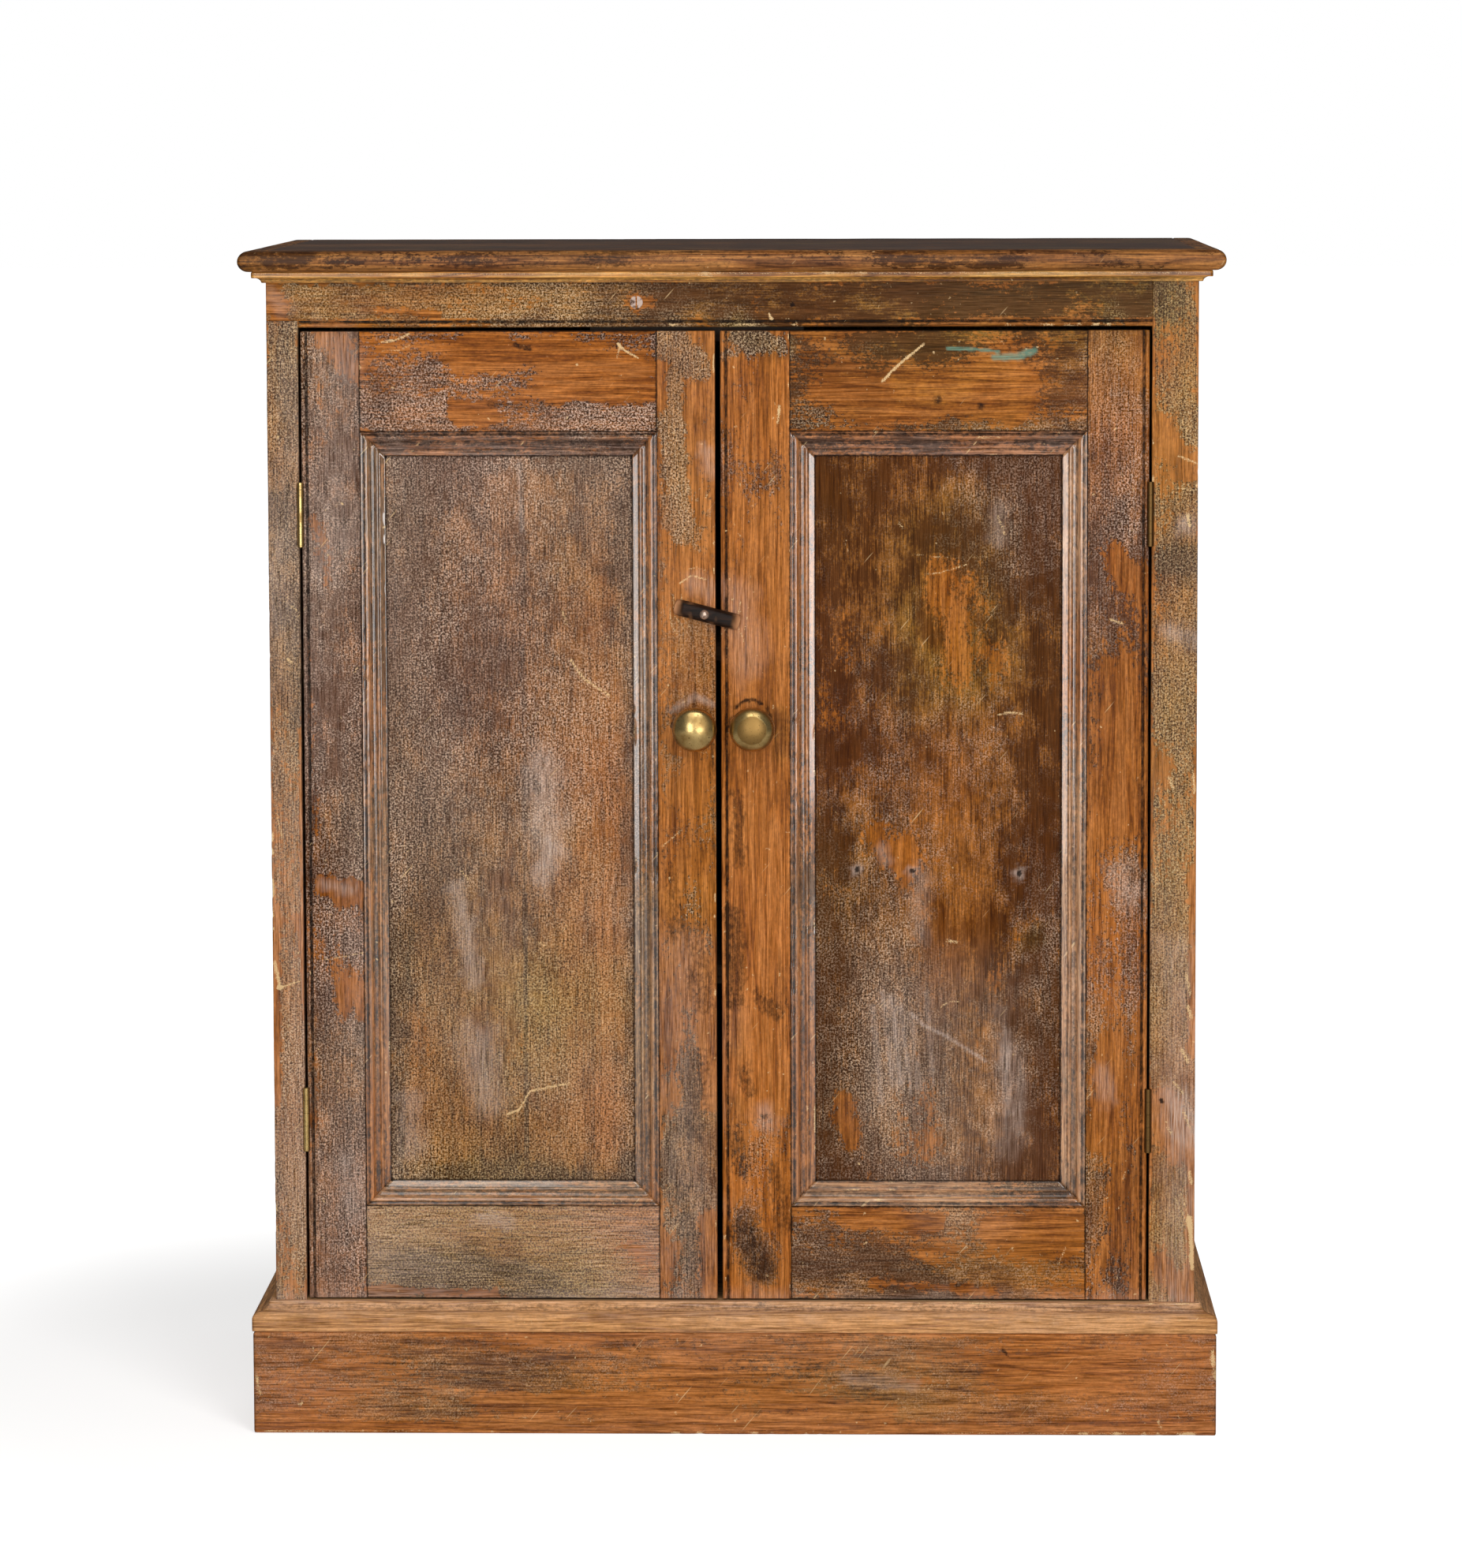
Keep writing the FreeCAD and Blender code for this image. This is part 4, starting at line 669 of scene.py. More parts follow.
@dataclass(frozen=True)
class Cut:
    """A piece taken out of a run between two stations.

    Attributes:
        start, end: the stations.
        wide: how far out from the edge it reaches.
        deep: how far below the face it reaches.
        far_edge: the place of the edge it is cut from, or None for the edge at zero.
    """

    start: float
    end: float
    wide: float
    deep: float
    far_edge: float | None = None

    def apply(self, stations: Array, outs: Array, ups: Array) -> tuple[Array, Array]:
        """Push the points of the cut back to its floor or its wall, whichever is nearer.

        Args:
            stations: the stations of the run.
            outs, ups: the section's coordinates at each station, up being the depth below the face.

        Returns:
            The new coordinates.
        """
        inset = outs if self.far_edge is None else self.far_edge - outs
        inside = (stations >= self.start) & (stations <= self.end)
        hit = inside[:, None] & (inset < self.wide) & (ups < self.deep)
        to_wall = hit & (self.wide - inset <= self.deep - ups)
        to_floor = hit & ~to_wall
        wall = self.wide if self.far_edge is None else self.far_edge - self.wide
        return np.where(to_wall, wall, outs), np.where(to_floor, self.deep, ups)


def grid_object(name: str, points: Array, values: dict[str, Array]) -> bpy.types.Object:
    """Make a closed tube of rings a mesh with capped ends and one attribute for each value.

    Args:
        name: the node that it stands for; the object is called the same with "dressed_" before it.
        points: rings of places, (rings, points, 3).
        values: one number for each place, by attribute name.

    Returns:
        The new object, linked to the scene.
    """
    rings, count, _ = points.shape
    index = np.arange(rings * count).reshape(rings, count)
    beside = np.roll(index, -1, axis=1)
    quads = np.stack([index[:-1], beside[:-1], beside[1:], index[1:]], axis=-1).reshape(-1, 4)
    corners = points.reshape(-1, 3)
    first, second, third = (corners[quads[:, spot]] for spot in (0, 1, 2))
    volume = float(np.einsum("ij,ij->", first, np.cross(second, third)))
    caps = [index[0, ::-1].tolist(), index[-1].tolist()]
    if volume < 0.0:
        quads = quads[:, ::-1]
        caps = [cap[::-1] for cap in caps]
    mesh = bpy.data.meshes.new("dressed_" + name)
    mesh.from_pydata(corners.tolist(), [], quads.tolist() + caps)
    smooth = np.ones(len(quads) + 2, dtype=bool)
    smooth[-2:] = False
    mesh.polygons.foreach_set("use_smooth", smooth)
    for key, value in values.items():
        attribute = mesh.attributes.new(key, "FLOAT", "POINT")
        attribute.data.foreach_set("value", np.clip(value, 0.0, 1.0).astype(np.float32).ravel())
    mesh.update()
    item = bpy.data.objects.new("dressed_" + name, mesh)
    bpy.context.scene.collection.objects.link(item)
    return item


def arc(start: tuple[float, float], end: tuple[float, float], radius: float, side: int,
        steps: int = 8) -> list[tuple[float, float]]:
    """Places on the arc from start to end, without its end.

    The centre lies on the middle line of the two ends; the angle then runs evenly between them.

    Args:
        start, end: the ends.
        radius: the radius.
        side: 1 if the arc bulges to the left of the way, -1 to the right.
        steps: how many places.

    Returns:
        The places in order.
    """
    way = np.subtract(end, start)
    half = np.hypot(*way) / 2.0
    left = np.array([-way[1], way[0]]) / (2.0 * half)
    centre = np.add(start, end) / 2.0 - side * left * math.sqrt(max(radius ** 2 - half ** 2, 0.0))
    first = math.atan2(start[1] - centre[1], start[0] - centre[0])
    sweep = -side * 2.0 * math.asin(min(half / radius, 1.0))
    angles = first + sweep * np.arange(steps) / steps
    return [(centre[0] + radius * math.cos(a), centre[1] + radius * math.sin(a)) for a in angles]


def worn_section(points: list[tuple[float, float]], spacing: float) -> Array:
    """Divide the long sides of an outline and soften its corners.

    Each point is moved to a quarter of each neighbour and a half of itself, twice, which rounds a corner
    by about the spacing.

    Args:
        points: the closed outline.
        spacing: the most that two places may lie apart.

    Returns:
        The new outline.
    """
    rows = []
    for start, end in zip(points, points[1:] + points[:1]):
        parts = max(1, math.ceil(math.dist(start, end) / spacing))
        share = np.arange(parts)[:, None] / parts
        rows.append(np.array(start) + share * np.subtract(end, start))
    outline = np.concatenate(rows)
    for _ in range(2):
        outline = 0.5 * outline + 0.25 * (np.roll(outline, 1, axis=0) + np.roll(outline, -1, axis=0))
    return outline


@dataclass(frozen=True)
class Arris:
    """How a long edge of a board is worked: rounded, or with a bead and its quirk."""

    radius: float = 1.1 * MM
    bead: float = 0.0
    quirk: float = 0.0
    dirt: float = 0.0

    def depth(self, inset: Array) -> Array:
        """Depth of the face at an inset from the edge: arcs for the round and the bead, a flat quirk.

        Args:
            inset: distance in from the edge.

        Returns:
            The depth below the face.
        """
        radius = self.bead / 2.0 if self.bead else self.radius
        if not self.bead:
            beyond = np.clip(radius - inset, 0.0, radius)
            return radius - np.sqrt(np.clip(radius ** 2 - beyond ** 2, 0.0, None))
        bead = radius - np.sqrt(np.clip(radius ** 2 - (inset - radius) ** 2, 0.0, None))
        foot = ease(self.bead + self.quirk + 0.4 * MM, self.bead + self.quirk, inset)
        return np.where(inset < self.bead, bead, radius * foot)

    def insets(self) -> Array:
        """Insets at which the edge's shape is sampled.

        Returns:
            The insets in order.
        """
        if self.bead:
            return np.concatenate([np.linspace(0.0, self.bead, 13),
                                   self.bead + np.linspace(0.1 * MM, self.quirk + 0.8 * MM, 7)])
        return np.concatenate([self.radius * (1.0 - np.cos(np.linspace(0.0, math.pi / 2, 5))),
                               np.array([2.0, 3.2]) * MM])


# a board's fringe of close points, their least gap, the spacing on its sides, the room above an arris,
# and how close a station lies beside a cut
EDGE_FRINGE = 7.5 * MM
LEAST_GAP = 0.04 * MM
SIDE_STEP = 3.0 * MM
ARRIS_ROOM = 0.2 * MM
CUT_HAIR = 0.02 * MM

PLAIN = Arris()
TIGHT = Arris(radius=0.5 * MM, dirt=0.95)
BEADED = Arris(bead=4.8 * MM, quirk=1.8 * MM)


@dataclass(frozen=True)
class Board:
    """A board between two corners, as a run of its section.

    Attributes:
        node: the frame's node.
        low, high: its lowest and highest corners.
        along: the axis of its length and grain.
        face: the axis of its thickness.
        face_sign: -1 if the worked face is at the low end of that axis, 1 if at the high end.
        edges: how its two long edges are worked, low edge first.
        step, back_step: spacing of the points on its face and on its back.
        end_dirt: how dirty its ends are.
        rebate: how far the rebate at the back of its high edge reaches in, and towards the face.
    """

    node: str
    low: Array
    high: Array
    along: Axis
    face: Axis
    face_sign: int = -1
    edges: tuple[Arris, Arris] = (PLAIN, PLAIN)
    step: float = 1.6 * MM
    back_step: float = 12.0 * MM
    end_dirt: float = 0.0
    rebate: tuple[float, float] = (0.0, 0.0)

    def run(self, look: Look, cuts: tuple[Cut, ...] = (), end_round: float = 0.8 * MM) -> Run:
        """The run whose section is the board's: face, far side, back and near side.

        Args:
            look: the age of its varnish.
            cuts: what is cut from it, as places along its length and in from its edges.
            end_round: rounding of its ends.

        Returns:
            The run.
        """
        across = ({0, 1, 2} - {self.along.value, self.face.value}).pop()
        size = self.high - self.low
        width, thick = float(size[across]), float(size[self.face.value])
        near, far = self.edges
        inner = np.arange(0.0, width, self.step)
        places = np.concatenate([near.insets(), width - far.insets(), inner])
        keep = (places < EDGE_FRINGE) | (places > width - EDGE_FRINGE) | np.isin(places, inner)
        face_outs = np.unique(np.round(places[keep], 6))
        face_outs = face_outs[np.concatenate([[True], np.diff(face_outs) > LEAST_GAP])]
        depth = np.maximum(near.depth(face_outs), far.depth(width - face_outs))
        side = np.linspace(0.0, thick, max(3, int(thick / SIDE_STEP) + 1))
        rebate_in, rebate_up = self.rebate
        ledge = thick - rebate_up
        far_side = side[(side > depth[-1] + ARRIS_ROOM) & (side < ledge)]
        near_side = side[side > depth[0] + ARRIS_ROOM][:-1][::-1]
        seat = np.array([[width, ledge], [width - rebate_in, ledge]])[:2 if rebate_in else 0]
        back = np.linspace(width - rebate_in, 0.0, max(3, int(width / self.back_step)))
        section = np.concatenate([
            np.stack([face_outs, depth], axis=1),
            np.stack([np.full(len(far_side), width), far_side], axis=1),
            seat,
            np.stack([back, np.full(len(back), thick)], axis=1),
            np.stack([np.zeros(len(near_side)), near_side], axis=1),
        ])
        dirt = np.zeros(len(section))
        dirt[:len(face_outs)] = (near.dirt * np.exp(-(face_outs / DIRT_REACH) ** 2)
                                 + far.dirt * np.exp(-((width - face_outs) / DIRT_REACH) ** 2))
        unit = np.eye(3)
        origin = self.low.copy()
        if self.face_sign > 0:
            origin[self.face.value] = self.high[self.face.value]
        breaks = tuple(spot for cut in cuts
                       for spot in (cut.start - CUT_HAIR, cut.start, cut.end, cut.end + CUT_HAIR))
        return Run(self.node, origin, unit[self.along.value], unit[across],
                   -self.face_sign * unit[self.face.value], float(size[self.along.value]), section, look,
                   step=self.step, breaks=breaks, end_round=end_round, cuts=cuts, dirt=dirt,
                   end_dirt=self.end_dirt)


@dataclass
class Nodes:
    """A material's node tree and the one way of adding to it."""

    tree: bpy.types.NodeTree

    def add(self, kind: str, settings: dict[str, Any] | None = None, sockets: dict[Any, Any] | None = None,
            out: int | str = 0) -> Socket | None:
        """Add a node with its settings and links.

        Args:
            kind: the shader node's type without its common prefix.
            settings: properties to set.
            sockets: values or sockets for its inputs, by name or number.
            out: which output to hand back.

        Returns:
            That output, or None from a node that ends the tree.
        """
        node = self.tree.nodes.new("ShaderNode" + kind)
        for key, value in (settings or {}).items():
            setattr(node, key, value)
        for key, value in (sockets or {}).items():
            if isinstance(value, Socket):
                self.tree.links.new(value, node.inputs[key])
            else:
                node.inputs[key].default_value = value
        return node.outputs[out] if node.outputs else None


def new_material(name: str) -> tuple[bpy.types.Material, Nodes]:
    """Make an empty material.

    Args:
        name: its name.

    Returns:
        The material and its nodes.
    """
    material = bpy.data.materials.new(name)
    material.use_nodes = True
    material.node_tree.nodes.clear()
    return material, Nodes(material.node_tree)


MIX_COLOUR = {"data_type": "RGBA"}
MULTIPLY_COLOUR = {"data_type": "RGBA", "blend_type": "MULTIPLY"}
MULTIPLY = {"operation": "MULTIPLY"}
CLAMPED_MULTIPLY = {"operation": "MULTIPLY", "use_clamp": True}
MULTIPLY_ADD = {"operation": "MULTIPLY_ADD"}
CLAMPED_MULTIPLY_ADD = {"operation": "MULTIPLY_ADD", "use_clamp": True}
ADD = {"operation": "ADD"}
SUBTRACT = {"operation": "SUBTRACT"}
MAXIMUM = {"operation": "MAXIMUM"}
PINGPONG = {"operation": "PINGPONG"}
SMOOTH = {"interpolation_type": "SMOOTHSTEP"}


def drawn_out(grain: Axis, share: float) -> list[float]:
    """The scale of a pattern that is drawn out along the grain.

    Args:
        grain: the way of the grain.
        share: the scale along it.

    Returns:
        The scale along each axis.
    """
    scale = [1.0, 1.0, 1.0]
    scale[grain.value] = share
    return scale


@dataclass(frozen=True)
class Varnish:
    """Pine under an old spirit varnish: planed, stained by hand, crazed and rubbed by use.

    The eye sees amber wood with growth lines through a brown film; over it lies a broken skin of crazed
    varnish, and both are rubbed away in patches. The skin's pale beads are a painted sheen, the lamps'
    glints on the crazing; the whitish haze is partly painted sheen, and the grime colour also paints the
    shade in hollows and at the foot of the moulds. The crazing is drawn coarser than life, to show in the
    render. Names that end in mm are sizes of patterns; shares say how far one is drawn out along the grain.
    """

    name: str
    grain: Axis
    wood_pale: str = "#bd7436"
    wood: str = "#a25a16"
    wood_dark: str = "#743a08"
    film: str = "#381802"
    film_pale: str = "#9a5c22"
    olive_film: str = "#342300"
    olive_pale: str = "#926f24"
    pit: str = "#190c05"
    # bead and olive_bead_glint: the pale beads of the crazed skin, a painted sheen of the lamps' glints on it
    bead: str = "#dabeaa"
    olive_bead_glint: str = "#c2a972"
    # bloom: whitish haze, partly painted sheen
    bloom: str = "#cdb9ac"
    bare: str = "#e8c590"
    # grime: dirt, and the painted shade in hollows and at the foot of the moulds
    grime: str = "#1a100a"
    smear: str = "#6a9c88"
    ring_mm: float = 9.0
    streak_mm: float = 1.2
    crazing_mm: float = 1.9
    fleck_mm: float = 3.0
    blotch_mm: float = 24.0
    cloud_mm: float = 70.0
    grit_mm: float = 1.4
    tick_mm: float = 2.4
    nick_mm: float = 5.5
    grain_share: float = 0.04
    fleck_share: float = 0.6
    blotch_share: float = 0.55
    roughness: float = 0.3
    shine: float = 0.05
    coat: float = 0.0
    relief: float = 0.3

    def material(self) -> bpy.types.Material:
        """Make the material, one layer over the other.

        Returns:
            The new material.
        """
        material, nodes = new_material(self.name)
        coat = Coat(self, nodes)
        coat.lay_wood()
        coat.lay_film()
        coat.lay_skin()
        coat.lay_haze_dirt_and_shade()
        coat.scrape()
        coat.finish()
        return material


class Coat:
    """A varnish whose layers are laid one over the other in a node tree; colour is what shows so far."""

    def __init__(self, tones: Varnish, nodes: Nodes) -> None:
        """Add the random patterns, each scaled from its size, and read the surface's own values.

        Args:
            tones: the colours and sizes.
            nodes: the material's nodes.
        """
        self.tones, self.add = tones, nodes.add
        self.place = self.add("TexCoord", out="Object")
        along, flecked, slight = (
            self.add("Mapping", sockets={0: self.place, "Scale": drawn_out(tones.grain, share)})
            for share in (tones.grain_share, tones.fleck_share, tones.blotch_share))
        # each pattern's place, size, detail, roughness and distortion
        self.rings, self.streaks, self.crazing, self.flecks, self.blotches, self.clouds, self.grit = (
            self.add("TexNoise", sockets={"Vector": vector, "Scale": per_metre(size), "Detail": detail,
                                          "Roughness": rough, "Distortion": bent})
            for vector, size, detail, rough, bent in (
                (along, tones.ring_mm, 2.0, 0.5, 0.5),
                (along, tones.streak_mm, 3.0, 0.65, 0.0),
                (self.place, tones.crazing_mm, 3.0, 0.7, 0.0),
                (flecked, tones.fleck_mm, 4.0, 0.7, 0.0),
                (slight, tones.blotch_mm, 6.0, 0.62, 0.0),
                (slight, tones.cloud_mm, 3.0, 0.5, 0.0),
                (self.place, tones.grit_mm, 1.0, 0.5, 0.0)))
        self.shade = self.add("MapRange", sockets={0: self.streaks, 1: 0.36, 2: 0.64, 3: 0.5, 4: 1.5})
        self.held = {mark: self.add("Attribute", {"attribute_name": mark.value}, out="Fac") for mark in Mark}
        self.worn, self.whole = self.wear_through()

    def wear_through(self) -> tuple[Socket, Socket]:
        """Wear, blotches, flecks and crazing added up and cut sharply.

        Returns:
            Where the coat is worn through, and where it is whole.
        """
        add = self.add
        uneven = self.held[Mark.WORN]
        for value, weight in ((self.blotches, 0.9), (self.flecks, 1.0), (self.crazing, 0.3)):
            uneven = add("Math", MULTIPLY_ADD, {0: value, 1: weight, 2: uneven})
        worn = add("MapRange", SMOOTH, {0: uneven, 1: 1.51, 2: 1.65})
        return worn, add("Math", SUBTRACT, {0: 1.0, 1: worn})

    def lay_wood(self) -> None:
        """The bare wood: a ramp over seven folds of the rings, darkened by streaks and flecks."""
        add, tones = self.add, self.tones
        folds = add("Math", MULTIPLY, {0: self.rings, 1: 7.0})
        growth = add("ValToRGB", sockets={0: add("Math", PINGPONG, {0: folds, 1: 1.0})})
        ramp = growth.node.color_ramp.elements
        ramp[0].position, ramp[0].color = 0.0, linear(tones.wood_dark)
        ramp[1].position, ramp[1].color = 1.0, linear(tones.wood_pale)
        ramp.new(0.30).color = linear(tones.wood)
        mottled = add("MapRange", sockets={0: self.flecks, 1: 0.38, 2: 0.62, 3: 0.45, 4: 1.55})
        wood = add("Mix", MULTIPLY_COLOUR, {0: 0.75, 6: growth, 7: self.shade}, out=2)
        self.colour = add("Mix", MULTIPLY_COLOUR, {0: 0.25, 6: wood, 7: mottled}, out=2)

    def lay_film(self) -> None:
        """The brown or olive film, pale where it is thin, and mostly gone where the coat is worn."""
        add, tones = self.add, self.tones
        dark, olive = self.held[Mark.DARK], self.held[Mark.OLIVE]
        deep = add("Math", MULTIPLY_ADD, {0: self.clouds, 1: 0.7, 2: dark})
        deep = add("MapRange", sockets={0: deep, 1: 0.15, 2: 1.35, 3: 0.0, 4: 1.35})
        left = add("MapRange", sockets={0: self.whole, 3: 0.4, 4: 1.0})
        thick = add("Math", CLAMPED_MULTIPLY, {0: deep, 1: left})
        thin = add("Math", MULTIPLY, {0: self.flecks, 1: 0.3})
        for value, weight in ((dark, -0.2), (self.streaks, 0.25), (self.blotches, 0.5), (self.clouds, 0.2)):
            thin = add("Math", MULTIPLY_ADD, {0: value, 1: weight, 2: thin})
        thin = add("MapRange", sockets={0: thin, 1: 0.45, 2: 0.60})
        deep_tint, pale_tint = (
            add("Mix", MIX_COLOUR, {0: olive, 6: linear(brown), 7: linear(green)}, out=2)
            for brown, green in ((tones.film, tones.olive_film), (tones.film_pale, tones.olive_pale)))
        tint = add("Mix", MIX_COLOUR, {0: thin, 6: deep_tint, 7: pale_tint}, out=2)
        tint = add("Mix", MULTIPLY_COLOUR, {0: 0.7, 6: tint, 7: self.shade}, out=2)
        stained = add("Math", MULTIPLY, {0: thick, 1: 0.88})
        self.colour = add("Mix", MIX_COLOUR, {0: stained, 6: self.colour, 7: tint}, out=2)

    def lay_skin(self) -> None:
        """The crazed skin: dark pits between pale beads, in patches of the whole coat; the pale beads are a
        painted sheen, the lamps' glints on the crazing, stronger where the clouds are high.
        """
        add, tones = self.add, self.tones
        patchy = add("Math", MULTIPLY_ADD, {0: self.blotches, 1: 0.9, 2: self.held[Mark.THICK]})
        cover = add("MapRange", SMOOTH, {0: patchy, 1: 0.35, 2: 1.15})
        cover = add("Math", MULTIPLY, {0: cover, 1: self.whole})
        pitted = add("MapRange", sockets={0: self.crazing, 1: 0.49, 2: 0.40, 3: 0.0, 4: 0.95})
        pitted = add("Math", MULTIPLY, {0: pitted, 1: cover})
        pits = add("Mix", MIX_COLOUR, {0: pitted, 6: self.colour, 7: linear(tones.pit)}, out=2)
        # painted sheen: pale glints where the crazing stands high, stronger where the clouds are high
        glint_share = add("MapRange", sockets={0: self.crazing, 1: 0.48, 2: 0.61, 3: 0.0, 4: 0.9})
        sheen = add("MapRange", sockets={0: self.clouds, 1: 0.35, 2: 0.65, 3: 0.4, 4: 1.0})
        sheen = add("Math", MULTIPLY, {0: sheen, 1: cover})
        glint_share = add("Math", MULTIPLY, {0: glint_share, 1: sheen})
        pale, olive = linear(tones.bead), linear(tones.olive_bead_glint)
        beads = add("Mix", MIX_COLOUR, {0: self.held[Mark.OLIVE], 6: pale, 7: olive}, out=2)
        beads = add("Mix", MULTIPLY_COLOUR, {0: 0.7, 6: beads, 7: self.shade}, out=2)
        self.colour = add("Mix", MIX_COLOUR, {0: glint_share, 6: pits, 7: beads}, out=2)

    def lay_haze_dirt_and_shade(self) -> None:
        """Haze, broken into streaks, partly a painted sheen; and gritty dirt, whose dark colour also paints
        the shade in hollows and at the foot of the moulds.
        """
        add, tones = self.add, self.tones
        streaky = add("MapRange", sockets={0: self.streaks, 1: 0.35, 2: 0.65, 3: 0.1, 4: 0.85})
        # haze in streaks, partly painted sheen
        haze_and_sheen_share = add("Math", CLAMPED_MULTIPLY, {0: self.held[Mark.BLOOM], 1: streaky})
        haze = add("Mix", MIX_COLOUR, {0: haze_and_sheen_share, 6: self.colour, 7: linear(tones.bloom)}, out=2)
        gritty = add("MapRange", sockets={0: self.flecks, 1: 0.38, 2: 0.62, 3: 0.0, 4: -0.5})
        # dirt and painted shade, broken by grit
        dirty = add("Math", CLAMPED_MULTIPLY_ADD, {0: self.held[Mark.GRIME_AND_SHADE], 1: 1.5, 2: gritty})
        dirty = add("Math", MULTIPLY, {0: dirty, 1: 0.92})
        self.colour = add("Mix", MIX_COLOUR, {0: dirty, 6: haze, 7: linear(tones.grime)}, out=2)

    def scrape(self) -> None:
        """Pale wood in the surface's own scratches and in scattered slanting ticks and nicks, then smears."""
        add, tones = self.add, self.tones
        slant = add("Mapping", {"vector_type": "TEXTURE"}, {0: self.place, "Rotation": (0.0, 0.7, 0.0),
                                                            "Scale": (1.0, 1.0, 14.0)})
        ticks = add("TexNoise", sockets={"Vector": slant, "Scale": per_metre(tones.tick_mm), "Detail": 0.0})
        ticked = add("MapRange", sockets={0: ticks, 1: 0.80, 2: 0.90, 3: 0.0, 4: 0.55})
        nicks = add("TexNoise", sockets={"Vector": self.place, "Scale": per_metre(tones.nick_mm),
                                         "Detail": 2.0})
        nicked = add("MapRange", sockets={0: nicks, 1: 0.72, 2: 0.80, 3: 0.0, 4: 0.7})
        struck = add("Math", MAXIMUM, {0: ticked, 1: nicked})
        broken = add("Math", MULTIPLY_ADD, {0: self.grit, 1: 0.9, 2: self.held[Mark.SCRATCH]})
        scratched = add("MapRange", SMOOTH, {0: broken, 1: 0.8, 2: 1.15, 4: 0.8})
        self.scraped = add("Math", MAXIMUM, {0: scratched, 1: struck})
        pale = add("Mix", MIX_COLOUR, {0: self.scraped, 6: self.colour, 7: linear(tones.bare)}, out=2)
        smeared = add("Math", CLAMPED_MULTIPLY, {0: self.held[Mark.SMEAR], 1: self.shade})
        self.colour = add("Mix", MIX_COLOUR, {0: smeared, 6: pale, 7: linear(tones.smear)}, out=2)

    def finish(self) -> None:
        """The surface: rougher where it is worn and most where it is scraped, in relief as it is crazed."""
        add, tones = self.add, self.tones
        smooth = tones.roughness
        rough = add("MapRange", sockets={0: self.worn, 3: smooth, 4: smooth + 0.1})
        rough = add("MapRange", sockets={0: self.scraped, 3: rough, 4: 0.75})
        relief = add("MapRange", sockets={0: self.worn, 3: self.crazing, 4: self.streaks})
        relief = add("Math", SUBTRACT, {0: relief, 1: self.scraped})
        bump = add("Bump", sockets={"Strength": tones.relief, "Distance": 0.3 * MM, "Height": relief})
        surface = add("BsdfPrincipled", sockets={
            "Base Color": self.colour, "Roughness": rough, "Normal": bump, "Specular IOR Level": tones.shine,
            "Coat Weight": tones.coat, "Coat Roughness": 0.08, "Coat IOR": 1.7})
        add("OutputMaterial", sockets={0: surface})


@dataclass(frozen=True)
class BarePine:
    """Unfinished pine inside a cupboard: sawn and planed boards gone tan, dusty and dry, with no gloss."""

    name: str
    grain: Axis
    pale: str = "#c79a62"
    deep: str = "#8f5f32"
    dust: str = "#8d7a63"
    ring_mm: float = 11.0
    streak_mm: float = 1.8
    patch_mm: float = 140.0
    grain_share: float = 0.045

    def material(self) -> bpy.types.Material:
        """Make the material: a ramp over seven folds of the rings, shaded by streaks, under patchy dust.

        Returns:
            The new material.
        """
        material, nodes = new_material(self.name)
        add = nodes.add
        place = add("TexCoord", out="Object")
        along = add("Mapping", sockets={0: place, "Scale": drawn_out(self.grain, self.grain_share)})
        rings = add("TexNoise", sockets={"Vector": along, "Scale": per_metre(self.ring_mm), "Detail": 2.0,
                                         "Distortion": 0.8})
        folds = add("Math", MULTIPLY, {0: rings, 1: 7.0})
        streaks = add("TexNoise", sockets={"Vector": along, "Scale": per_metre(self.streak_mm), "Detail": 3.0,
                                           "Roughness": 0.6})
        growth = add("ValToRGB", sockets={0: add("Math", PINGPONG, {0: folds, 1: 1.0})})
        ramp = growth.node.color_ramp.elements
        ramp[0].position, ramp[0].color = 0.0, linear(self.deep)
        ramp[1].position, ramp[1].color = 0.6, linear(self.pale)
        shade = add("MapRange", sockets={0: streaks, 1: 0.3, 2: 0.7, 3: 0.72, 4: 1.12})
        wood = add("Mix", MULTIPLY_COLOUR, {0: 1.0, 6: growth, 7: shade}, out=2)
        patches = add("TexNoise", sockets={"Vector": place, "Scale": per_metre(self.patch_mm), "Detail": 4.0})
        dusty = add("MapRange", sockets={0: patches, 1: 0.4, 2: 0.75, 3: 0.1, 4: 0.65})
        colour = add("Mix", MIX_COLOUR, {0: dusty, 6: wood, 7: linear(self.dust)}, out=2)
        bump = add("Bump", sockets={"Strength": 0.4, "Distance": 0.3 * MM, "Height": streaks})
        surface = add("BsdfPrincipled", sockets={"Base Color": colour, "Roughness": 0.72, "Normal": bump})
        add("OutputMaterial", sockets={0: surface})
        return material


